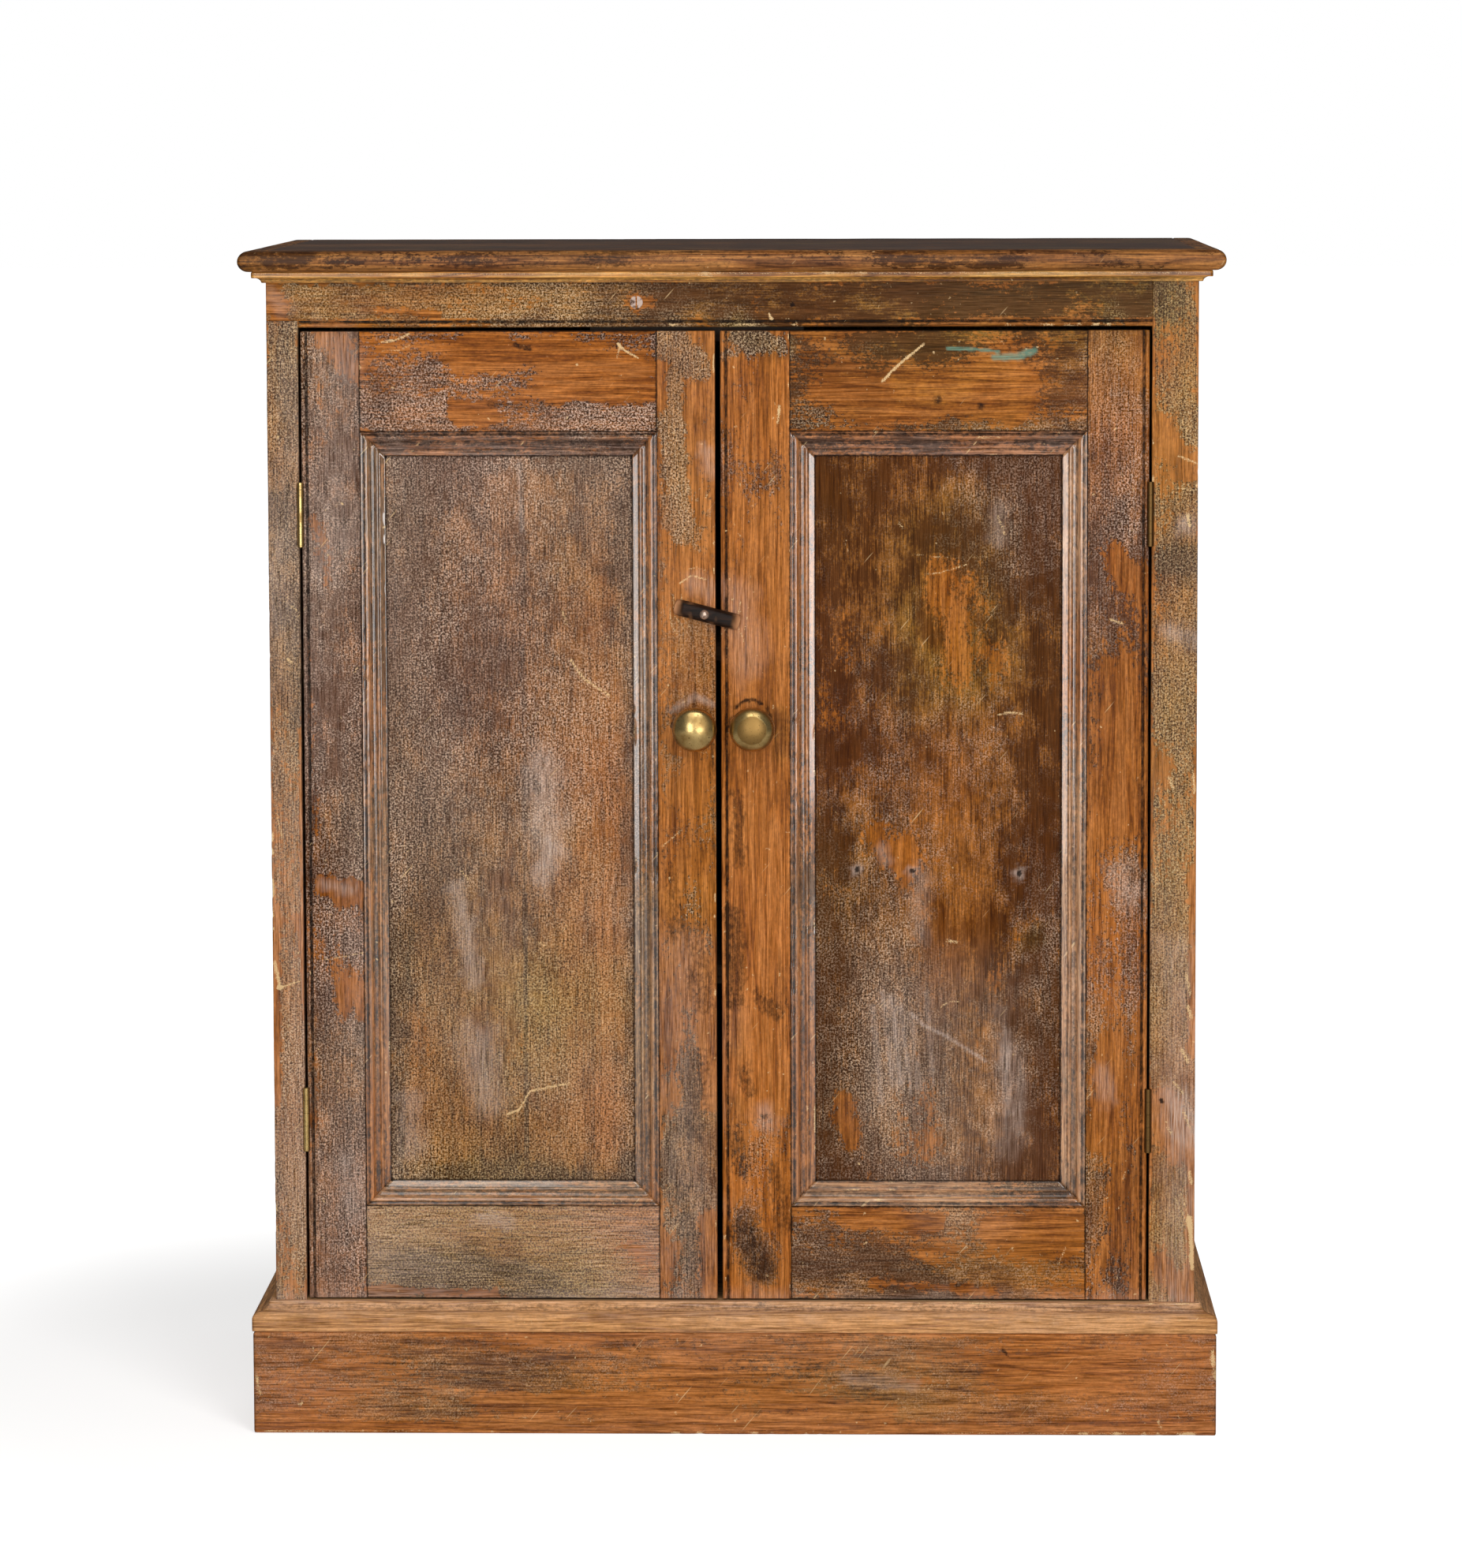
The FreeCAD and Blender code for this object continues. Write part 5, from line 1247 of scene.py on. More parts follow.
@dataclass(frozen=True)
class Brass:
    """Old brass, spun or rolled and handled for years: a soft polish under olive-brown tarnish.

    Right of darker_from, in metres across, the metal is darker, duller and more spotted.
    """

    name: str
    bright: str = "#cbae72"
    tarnish: str = "#8f7040"
    spot: str = "#5c4226"
    cloud_mm: float = 14.0
    speck_mm: float = 1.6
    darker_from: float = 0.3
    darker_to: float = 0.35

    def material(self) -> bpy.types.Material:
        """Make the material: bright metal, tarnished where clouds and patina are strong, with dark spots.

        Returns:
            The new material.
        """
        material, nodes = new_material(self.name)
        add = nodes.add
        place = add("TexCoord", out="Object")
        clouds = add("TexNoise", sockets={"Vector": place, "Scale": per_metre(self.cloud_mm), "Detail": 4.0})
        specks = add("TexNoise", sockets={"Vector": place, "Scale": per_metre(self.speck_mm), "Detail": 2.0})
        patina = add("Attribute", {"attribute_name": Mark.THICK.value}, out="Fac")
        held = add("Math", ADD, {0: clouds, 1: patina})
        across = add("SeparateXYZ", sockets={0: place}, out="X")
        # darker and duller to the right of darker_from
        darker_right = add("MapRange", sockets={0: across, 1: self.darker_from, 2: self.darker_to})
        held = add("Math", ADD, {0: held, 1: darker_right})
        tarnished = add("MapRange", SMOOTH, {0: held, 1: 0.42, 2: 0.85})
        bright, dull = linear(self.bright), linear(self.tarnish)
        colour = add("Mix", MIX_COLOUR, {0: tarnished, 6: bright, 7: dull}, out=2)
        spotted = add("MapRange", SMOOTH, {0: specks, 1: 0.62, 2: 0.75})
        stained = add("Math", MULTIPLY, {0: darker_right, 1: 0.75})
        spotted = add("Math", MAXIMUM, {0: spotted, 1: stained})
        colour = add("Mix", MIX_COLOUR, {0: spotted, 6: colour, 7: linear(self.spot)}, out=2)
        rough = add("MapRange", sockets={0: tarnished, 3: 0.24, 4: 0.46})
        bump = add("Bump", sockets={"Strength": 0.25, "Distance": 0.2 * MM, "Height": clouds})
        surface = add("BsdfPrincipled", sockets={"Base Color": colour, "Metallic": 1.0, "Roughness": rough,
                                                 "Normal": bump})
        add("OutputMaterial", sockets={0: surface})
        return material


@dataclass(frozen=True)
class DarkHardwood:
    """A scrap of dark hardwood, cut with a knife: near black, paler where hands rub it."""

    name: str
    dark: str = "#120a06"
    brown: str = "#2c1a10"
    rubbed: str = "#b58058"
    streak_mm: float = 1.8
    grain_share: float = 0.1

    def material(self) -> bpy.types.Material:
        """Make the material: two browns in streaks, and the rubbed wood where the surface is worn.

        Returns:
            The new material.
        """
        material, nodes = new_material(self.name)
        add = nodes.add
        place = add("TexCoord", out="Object")
        along = add("Mapping", sockets={0: place, "Scale": drawn_out(Axis.ACROSS, self.grain_share)})
        streaks = add("TexNoise", sockets={"Vector": along, "Scale": per_metre(self.streak_mm),
                                           "Detail": 3.0})
        worn = add("Attribute", {"attribute_name": Mark.WORN.value}, out="Fac")
        shade = add("MapRange", sockets={0: streaks, 1: 0.35, 2: 0.7})
        colour = add("Mix", MIX_COLOUR, {0: shade, 6: linear(self.dark), 7: linear(self.brown)}, out=2)
        colour = add("Mix", MIX_COLOUR, {0: worn, 6: colour, 7: linear(self.rubbed)}, out=2)
        bump = add("Bump", sockets={"Strength": 0.4, "Distance": 0.2 * MM, "Height": streaks})
        surface = add("BsdfPrincipled", sockets={"Base Color": colour, "Roughness": 0.5, "Normal": bump,
                                                 "Specular IOR Level": 0.15})
        add("OutputMaterial", sockets={0: surface})
        return material


@dataclass(frozen=True)
class Iron:
    """Old iron screws: filed heads gone brown-grey with a thin rust."""

    name: str
    metal: str = "#7a7068"
    rust: str = "#4a3020"
    cloud_mm: float = 2.6

    def material(self) -> bpy.types.Material:
        """Make the material: grey metal with clouds of rust, rougher where it rusts.

        Returns:
            The new material.
        """
        material, nodes = new_material(self.name)
        add = nodes.add
        place = add("TexCoord", out="Object")
        clouds = add("TexNoise", sockets={"Vector": place, "Scale": per_metre(self.cloud_mm), "Detail": 3.0})
        rusty = add("MapRange", SMOOTH, {0: clouds, 1: 0.42, 2: 0.66})
        colour = add("Mix", MIX_COLOUR, {0: rusty, 6: linear(self.metal), 7: linear(self.rust)}, out=2)
        rough = add("MapRange", sockets={0: rusty, 3: 0.35, 4: 0.75})
        bump = add("Bump", sockets={"Strength": 0.3, "Distance": 0.2 * MM, "Height": clouds})
        surface = add("BsdfPrincipled", sockets={"Base Color": colour, "Metallic": 0.8, "Roughness": rough,
                                                 "Normal": bump})
        add("OutputMaterial", sockets={0: surface})
        return material


TOP = {"wood_pale": "#c08448", "wood": "#8a5730", "wood_dark": "#4c2c18", "bead": "#63544a", "pit": "#2e221b",
       "roughness": 0.42, "shine": 0.2}
# bed mould: rubbed pine, paler and glossier; the pale tone is partly a painted highlight along it
BED = {"wood_pale": "#e4ac5a", "wood": "#c08034", "wood_dark": "#703d14", "roughness": 0.2, "shine": 0.5}
# base mould: paler pine, partly painted light on its upward slope
BASE = {"wood_pale": "#d89c60", "wood": "#be8446", "wood_dark": "#966030"}
BRUSHED = {"blotch_mm": 9.0, "blotch_share": 0.12, "fleck_mm": 2.6}


class Finish(Enum):
    """Every finish of the cupboard."""

    UPRIGHT = Varnish("varnished_pine_upright", Axis.UPRIGHT)
    ACROSS = Varnish("varnished_pine_across", Axis.ACROSS)
    TOP_ACROSS = Varnish("dark_top_across", Axis.ACROSS, **TOP)
    TOP_DEEP = Varnish("dark_top_deep", Axis.DEEP, **TOP)
    # the moulds' warm haze is partly a painted highlight on their slopes
    MOULD_ACROSS = Varnish("moulded_pine_across", Axis.ACROSS, bloom="#dcb892", shine=0.3, roughness=0.2,
                           coat=0.5, relief=0.12)
    MOULD_UPRIGHT = Varnish("moulded_pine_upright", Axis.UPRIGHT, bloom="#dcb892", shine=0.3, roughness=0.12,
                            coat=1.0, relief=0.1)
    BED_ACROSS = Varnish("rubbed_and_lit_pine_across", Axis.ACROSS, **BED)
    BED_DEEP = Varnish("rubbed_and_lit_pine_deep", Axis.DEEP, **BED)
    BASE_ACROSS = Varnish("pale_pine_across", Axis.ACROSS, **BASE)
    BASE_DEEP = Varnish("pale_pine_deep", Axis.DEEP, **BASE)
    BRUSHED_ACROSS = Varnish("brushed_pine_across", Axis.ACROSS, **BRUSHED)
    BRUSHED_DEEP = Varnish("brushed_pine_deep", Axis.DEEP, **BRUSHED)
    BARE_UPRIGHT = BarePine("bare_pine_upright", Axis.UPRIGHT)
    KNOTTY_UPRIGHT = BarePine("knotty_pine_upright", Axis.UPRIGHT, pale="#b5864f", deep="#7c522c",
                              dust="#85725b", ring_mm=16.0, streak_mm=2.3)
    BARE_ACROSS = BarePine("bare_pine_across", Axis.ACROSS)
    BARE_DEEP = BarePine("bare_pine_deep", Axis.DEEP)
    # darker pine for the shelves: painted shade on their front edges, seen through the gap between the doors
    SHADED_SHELF_ACROSS = BarePine("dusty_shaded_pine_across", Axis.ACROSS, pale="#7d5f42", deep="#553a22", dust="#5f5142")
    # near black: painted shade on the door stop, so the gap between the doors reads dark
    SHADE_BLACK_ACROSS = BarePine("shade_black_pine_across", Axis.ACROSS, pale="#3e2c1d", deep="#261a10",
                             dust="#30241a")
    BRASS = Brass("aged_brass")
    HARDWOOD = DarkHardwood("dark_hardwood")
    IRON = Iron("old_iron")
    SCREW_IRON = Iron("screw_iron", metal="#a08c80", rust="#5e4334")
    RUBBED_IRON = Iron("rubbed_iron", metal="#c2ab9a", rust="#8a6a56")


class Wardrobe:
    """Makes each finish's material once and puts it on pieces."""

    def __init__(self) -> None:
        """Start with no material made."""
        self.made: dict[Finish, bpy.types.Material] = {}

    def dress(self, item: bpy.types.Object, finish: Finish) -> bpy.types.Object:
        """Give an object one finish.

        Args:
            item: a new piece or a node of the frame.
            finish: the finish.

        Returns:
            The same object.
        """
        if finish not in self.made:
            self.made[finish] = finish.value.material()
        item.data.materials.clear()
        item.data.materials.append(self.made[finish])
        return item


VARNISH_SLOT = "varnished_pine"
DARK_SLOT = "dark_varnished_pine"


@dataclass
class Workshop:
    """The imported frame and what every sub-assembly needs to put its pieces on it."""

    frame: dict[str, Any]
    wardrobe: Wardrobe = field(default_factory=Wardrobe)

    def box(self, node: str) -> tuple[Array, Array]:
        """The lowest and highest corners of a node."""
        low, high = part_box(node)
        return np.array(low), np.array(high)

    def face(self) -> float:
        """Where the face of the frame round the doors lies in depth."""
        return float(self.box("frame_left_stile")[0][1])

    def hang(self, item: bpy.types.Object, node: str, finish: Finish, slot: str = VARNISH_SLOT) -> None:
        """Finish a new piece, let it stand for a node and ride on the node's body.

        Args:
            item: the piece.
            node: the node that it stands for.
            finish: its finish.
            slot: not used.
        """
        self.wardrobe.dress(item, finish)
        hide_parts(node)
        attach(item, self.frame["nodes"][node]["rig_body"])
        LOG.info("%s: %d faces", item.name, len(item.data.polygons))

    def finish_node(self, node: str, finish: Finish) -> None:
        """Give a node of the frame a better material."""
        self.wardrobe.dress(self.frame["nodes"][node], finish)
        LOG.info("%s keeps its own shape", node)


@dataclass
class FaceFrame:
    """The face frame round the doors: two stiles and a beaded top rail."""

    shop: Workshop
    shoulder: float = 6.6 * MM
    # the left stile's strong haze is partly a painted sheen of the lamps
    left_look: Look = Look(wear=0.2, crust=0.8, dark=0.4, olive=0.55, bloom=0.34, edge=0.7, seed=11)
    right_look: Look = Look(wear=0.3, crust=0.6, dark=0.4, olive=0.7, bloom=0.12, edge=0.9, seed=21)
    rail_look: Look = Look(wear=0.15, crust=0.35, dark=0.75, olive=0.6, bloom=0.03, seed=31)

    def build(self) -> None:
        """Make the stiles and the rail and put them on the carcass."""
        rail_low, rail_high = self.shop.box("frame_top_rail")
        left_low, left_high = self.shop.box("frame_left_stile")
        right_low, right_high = self.shop.box("frame_right_stile")
        left_high[2] = rail_low[2] + self.shoulder
        rail_high[0] = right_low[0]
        hinges = hinge_cuts(self.shop, left_low[2])
        width = float(left_high[0] - left_low[0])
        stiles = (("frame_left_stile", left_low, left_high, self.left_look, width),
                  ("frame_right_stile", right_low, right_high, self.right_look, None))
        for name, low, high, look, hinge_edge in stiles:
            board = Board(name, low, high, Axis.UPRIGHT, Axis.DEEP)
            cuts = tuple(cut for level in hinges for cut in hinge_seat(level, hinge_edge))
            self.shop.hang(board.run(look, cuts).build(), name, Finish.UPRIGHT)
        rail = Board("frame_top_rail", rail_low, rail_high, Axis.ACROSS, Axis.DEEP, edges=(BEADED, TIGHT))
        thick = float(rail_high[1] - rail_low[1])
        head = Cut(0.0, width, self.shoulder, thick)
        self.shop.hang(rail.run(self.rail_look, (head,)).build(), rail.node, Finish.ACROSS)


LEAF_THICKNESS = 1.5 * MM
LEAF_WIDTH = 18.0 * MM
KNUCKLE_ROOM = 2.15 * MM
KNUCKLE_DEPTH = 2.45 * MM


def hinge_cuts(shop: Workshop, foot: float) -> list[tuple[float, float]]:
    """Where the hinges start and end, above a foot.

    Args:
        shop: the workshop.
        foot: the height to count from.

    Returns:
        The start and end of each hinge, lower one first.
    """
    low, high = shop.box("left_door_hinge_leaves")
    heights = np.array([corner.co[2] for corner in shop.frame["nodes"]["hinge_pins"].data.vertices])
    middle = (low[2] + high[2]) / 2.0
    spans = (heights[heights < middle], heights[heights > middle])
    return [(float(span.min() - foot), float(span.max() - foot)) for span in spans]


def hinge_seat(level: tuple[float, float], far_edge: float | None) -> tuple[Cut, Cut]:
    """The seat of a hinge in a stile's edge: a shallow one for the leaf, a notch for the knuckles.

    Args:
        level: where the hinge starts and ends along the stile.
        far_edge: the place of the edge, or None for the edge at zero.

    Returns:
        The two cuts.
    """
    start, end = level
    return (Cut(start, end, LEAF_THICKNESS, LEAF_WIDTH, far_edge),
            Cut(start, end, KNUCKLE_ROOM, KNUCKLE_DEPTH, far_edge))


PANEL_MOULD_WIDTH = 24.5 * MM
PANEL_MOULD_HEIGHT = 9.0 * MM
# the section's corners, as shares of its width and height
PANEL_MOULD_CORNERS = ((0.0, 0.0), (0.0, 0.93), (0.12, 0.93), (0.12, 0.84), (0.345, 0.74), (0.60, 0.50),
                       (0.73, 0.50), (0.73, 0.44), (1.0, 0.34), (1.0, 0.0))
# radius of the round, the hollow and the bead, as a share of the width, and the side each bulges to
PANEL_MOULD_ARCS = ((0.14, 1), (0.17, -1), (0.075, 1))


def panel_mould_section() -> Array:
    """The panel mould's section: a fillet at the rail, a round, a hollow, a bead and a sloping edge.

    Returns:
        The closed outline.
    """
    wide, tall = PANEL_MOULD_WIDTH, PANEL_MOULD_HEIGHT
    corner = [(share_out * wide, share_up * tall) for share_out, share_up in PANEL_MOULD_CORNERS]
    outline = corner[:3]
    for start, end, (share, side) in zip(corner[3:6], corner[4:7], PANEL_MOULD_ARCS):
        outline += arc(start, end, share * wide, side)
    return worn_section(outline + corner[6:], 0.55 * MM)


@dataclass
class Door:
    """One panelled door with its mouldings, knob and hinge leaves.

    Attributes:
        shop: the workshop.
        side: "left" or "right".
        hanging_bead, meeting_bead: how its hanging and its meeting edge are worked.
        looks: the age of each piece's varnish.
        joint_dirt, mould_foot_shade: how dirty its joints are, and how far the darkening at the foot of a
            mould reaches, which is painted shadow of the step there, as dark as the joints.
        rail_round: rounding of the rails' ends.
    """

    shop: Workshop
    side: str
    hanging_bead: Arris
    meeting_bead: Arris
    looks: dict[str, Look]
    joint_dirt: float = 0.95
    rail_round: float = 0.4 * MM
    panel_step: float = 2.0 * MM
    panel_back_step: float = 16.0 * MM
    mould_step: float = 4.0 * MM
    mould_foot_shade: float = 1.3 * MM

    def build(self) -> None:
        """Make the stiles, rails, panel and mouldings and put them on the door's body."""
        left_name, right_name = ("hanging", "meeting") if self.side == "left" else ("meeting", "hanging")
        left_low, left_high = self.shop.box(f"{self.side}_door_{left_name}_stile")
        right_low, right_high = self.shop.box(f"{self.side}_door_{right_name}_stile")
        hinges = hinge_cuts(self.shop, left_low[2])
        for name, low, high, first in ((left_name, left_low, left_high, True),
                                       (right_name, right_low, right_high, False)):
            worked = self.hanging_bead if name == "hanging" else self.meeting_bead
            edges = (worked, TIGHT) if first else (TIGHT, worked)
            board = Board(f"{self.side}_door_{name}_stile", low, high, Axis.UPRIGHT, Axis.DEEP, edges=edges)
            far = None if first else float(high[0] - low[0])
            seats = hinges if name == "hanging" else []
            cuts = tuple(cut for level in seats for cut in hinge_seat(level, far))
            self.shop.hang(board.run(self.looks[name], cuts).build(), board.node, Finish.UPRIGHT)
        for name in ("top_rail", "bottom_rail"):
            low, high = self.shop.box(f"{self.side}_door_{name}")
            low[0], high[0] = left_high[0], right_low[0]
            board = Board(f"{self.side}_door_{name}", low, high, Axis.ACROSS, Axis.DEEP, edges=(TIGHT, TIGHT),
                          end_dirt=self.joint_dirt)
            run = board.run(self.looks[name], end_round=self.rail_round)
            self.shop.hang(run.build(), board.node, Finish.ACROSS)
        low, high = self.shop.box(f"{self.side}_door_panel")
        panel = Board(f"{self.side}_door_panel", low, high, Axis.UPRIGHT, Axis.DEEP, edges=(TIGHT, TIGHT),
                      step=self.panel_step, back_step=self.panel_back_step)
        self.shop.hang(panel.run(self.looks["panel"]).build(), panel.node, Finish.UPRIGHT)
        self.build_moulds(float(low[1]))

    def build_moulds(self, panel_face: float) -> None:
        """Make the four mitred lengths of panel mould.

        Args:
            panel_face: where the panel's face lies in depth.
        """
        section = panel_mould_section()
        # dark at the foot of each mould, beside the stile: painted shadow of the step there
        dirt = self.joint_dirt * np.exp(-(section[:, 0] / self.mould_foot_shade) ** 2)
        x_axis, y_axis, z_axis = np.eye(3)
        low, _ = self.shop.box(f"{self.side}_door_mould_bottom")
        _, high = self.shop.box(f"{self.side}_door_mould_top")
        wide, tall = float(high[0] - low[0]), float(high[2] - low[2])
        places = {
            "bottom": ((low[0], low[2]), x_axis, z_axis, wide, Finish.MOULD_ACROSS),
            "top": ((low[0], high[2]), x_axis, -z_axis, wide, Finish.ACROSS),
            "left": ((low[0], low[2]), z_axis, x_axis, tall, Finish.MOULD_UPRIGHT),
            "right": ((high[0], low[2]), z_axis, -x_axis, tall, Finish.MOULD_UPRIGHT),
        }
        for name, ((x, z), along, inward, length, finish) in places.items():
            node = f"{self.side}_door_mould_{name}"
            run = Run(node, np.array([x, panel_face, z]), along, inward, -y_axis, length, section,
                      self.looks["mould_" + name], mitres=(-1.0, -1.0), step=self.mould_step, dirt=dirt)
            self.shop.hang(run.build(), node, finish)

    def dress(self) -> None:
        """Finish the ironwork that keeps the frame's own shape."""
        self.shop.finish_node(f"{self.side}_door_hinge_leaves", Finish.BRASS)
        self.shop.finish_node(f"{self.side}_door_hinge_screws", Finish.IRON)


# the knob's foot, ring, neck, underside, rim and shoulder, as shares of its radius and projection
KNOB_CORNERS = ((0.80, 0.0), (0.80, 0.06), (0.36, 0.30), (0.864, 0.596), (1.0, 0.706), (0.806, 0.881))


@dataclass(frozen=True)
class Knob:
    """A spun brass knob, a turned profile carried round its axis and a little dented.

    Attributes:
        shop: the workshop.
        side: "left" or "right".
        stained: how far a darker middle of its face reaches, as a share of its radius.
        seed: which random fields.
        around: how many points go round it.
    """

    shop: Workshop
    side: str
    stained: float
    seed: int
    radius: float = 22.0 * MM
    projection: float = 47.0 * MM
    spigot: float = 4.0 * MM
    around: int = 72
    dent_size: float = 13.0 * MM
    dent_depth: float = 0.35 * MM

    def profile(self) -> Array:
        """The turned profile from the foot to the tip, as (radius, projection).

        A foot ring, a cove down to the neck, a cove out to the head, two rounds over its rim and a dome.

        Returns:
            Places in order.
        """
        wide, tall = self.radius, self.projection
        foot, ring, neck, under, rim, shoulder = (
            (share_out * wide, share_up * tall) for share_out, share_up in KNOB_CORNERS)
        rise = tall - shoulder[1]
        dome = (shoulder[0] ** 2 + rise ** 2) / (2.0 * rise)
        outline = [(self.spigot, 0.0), (0.9 * foot[0], 0.0), foot, (foot[0], 0.5 * ring[1])]
        outline += arc(ring, neck, 0.56 * wide, 1, 14)
        outline += arc(neck, under, 0.59 * wide, 1, 18)
        outline += arc(under, rim, 0.272 * wide, -1, 10)
        outline += arc(rim, shoulder, 0.454 * wide, -1, 12)
        outline += arc(shoulder, (0.0, tall), dome, -1, 24)
        return np.array(outline)

    def build(self) -> None:
        """Carry the profile round the axis, dent it, tarnish it and put it on its door."""
        node = self.side + "_knob"
        low, high = self.shop.box(node)
        outline = np.concatenate([[[self.spigot, low[1] + self.projection - high[1]]], self.profile()])
        angle = np.linspace(0.0, 2.0 * math.pi, self.around, endpoint=False)
        centre = (low + high) / 2.0
        out = np.stack([np.cos(angle), np.zeros(self.around), np.sin(angle)], axis=1)
        points = np.array([centre[0], low[1] + self.projection, centre[2]]) + outline[:, None, :1] * out[None]
        points[..., 1] -= outline[:, None, 1]
        head = ease(0.5 * self.projection, 0.8 * self.projection, outline[:, 1])[:, None]
        dent = drift(points, self.dent_size, self.seed) * head
        outward = out[None] - np.array([0.0, 1.0, 0.0])
        points = points - self.dent_depth * np.clip(dent, 0.0, 1.0)[..., None] * outward
        share = outline[:, :1] / self.radius
        cove = (1.0 - head) * 0.5
        darker_middle = 0.8 * head * (1.0 - ease(0.8 * self.stained, 1.15 * self.stained, share + 0.08 * dent))
        patina = np.clip(cove + darker_middle + 0.12 * dent + 0.05, 0.0, 1.0)
        item = grid_object(node, points, {Mark.THICK.value: patina})
        self.shop.hang(item, node, Finish.BRASS, "aged_brass")


@dataclass(frozen=True)
class Latch:
    """The wooden turn button across the meeting of the doors, and the screw that it turns on.

    Attributes:
        shop: the workshop.
        left_reach, right_reach: how far its ends lie from the screw.
        width, thickness, end_thickness: its section in the middle, and its thickness at the ends.
        bevel: length of the bevel at each end.
        clearance: the gap to the door behind it.
        slope: how far it hangs down to the right, in degrees.
        corner: rounding of its four corners.
        fullness: the power that makes its section fuller than a half-round.
    """

    shop: Workshop
    left_reach: float = 30.5 * MM
    right_reach: float = 35.5 * MM
    width: float = 15.8 * MM
    thickness: float = 11.0 * MM
    end_thickness: float = 4.5 * MM
    bevel: float = 9.0 * MM
    clearance: float = 0.4 * MM
    slope: float = 14.5
    corner: float = 4.0 * MM
    fullness: float = 0.6
    hack_size: float = 5.0 * MM
    hack_depth: float = 0.25 * MM

    def build(self) -> None:
        """Make the bar: a section between a half-round and a box carried along it, smaller at the ends.

        Round the section the angle runs over the front from one edge to the other; across is the half
        width times the cosine to the power of the fullness, proud is the thickness times the sine to the
        same power. Along the bar the thickness eases up over the bevel, and the half width follows the
        round of the corners at the ends.
        """
        node = "turn_button"
        low, high = self.shop.box("turn_button_screw")
        back = self.shop.face() - self.clearance
        close = self.corner * (1.0 - np.cos(np.linspace(0.0, math.pi / 2, 9)))
        start, end = -self.left_reach, self.right_reach
        along = np.unique(np.concatenate([np.linspace(start, end, 56), start + close, end - close]))
        near = np.minimum(along - start, end - along)
        bite = np.clip(1.0 - near / self.corner, 0.0, 0.995)
        half = self.width / 2.0 - self.corner * (1.0 - np.sqrt(1.0 - bite ** 2))
        thick = self.end_thickness + (self.thickness - self.end_thickness) * ease(0.0, self.bevel, near)
        angle = np.linspace(0.0, math.pi, 33)
        across = np.sign(np.cos(angle)) * np.abs(np.cos(angle)) ** self.fullness
        proud = np.abs(np.sin(angle)) ** self.fullness
        across = np.concatenate([across, np.linspace(-1.0, 1.0, 9)[1:-1]])
        proud = np.concatenate([proud, np.zeros(7)])
        turn = math.radians(self.slope)
        flat = half[:, None] * across
        x = (low[0] + high[0]) / 2.0 + along[:, None] * math.cos(turn) + flat * math.sin(turn)
        z = (low[2] + high[2]) / 2.0 - along[:, None] * math.sin(turn) + flat * math.cos(turn)
        y = back - thick[:, None] * proud
        points = np.stack([x, y, z], axis=-1)
        rough = drift(points, self.hack_size, 7)
        points[..., 1] += self.hack_depth * rough * proud
        rubbed = 1.0 - ease(2.0 * MM, 8.5 * MM, near[:, None] + 2.0 * MM * rough)
        worn = np.clip(rubbed * (0.45 + 0.55 * proud) + 0.25 * ease(0.3, 0.8, rough), 0.0, 1.0)
        item = grid_object(node, points, {Mark.WORN.value: worn})
        self.shop.hang(item, node, Finish.HARDWOOD, "dark_hardwood")

    def dress(self) -> None:
        """Finish the screw, which keeps the frame's own shape."""
        self.shop.finish_node("turn_button_screw", Finish.RUBBED_IRON)


SEAT_ROOM = 0.15 * MM


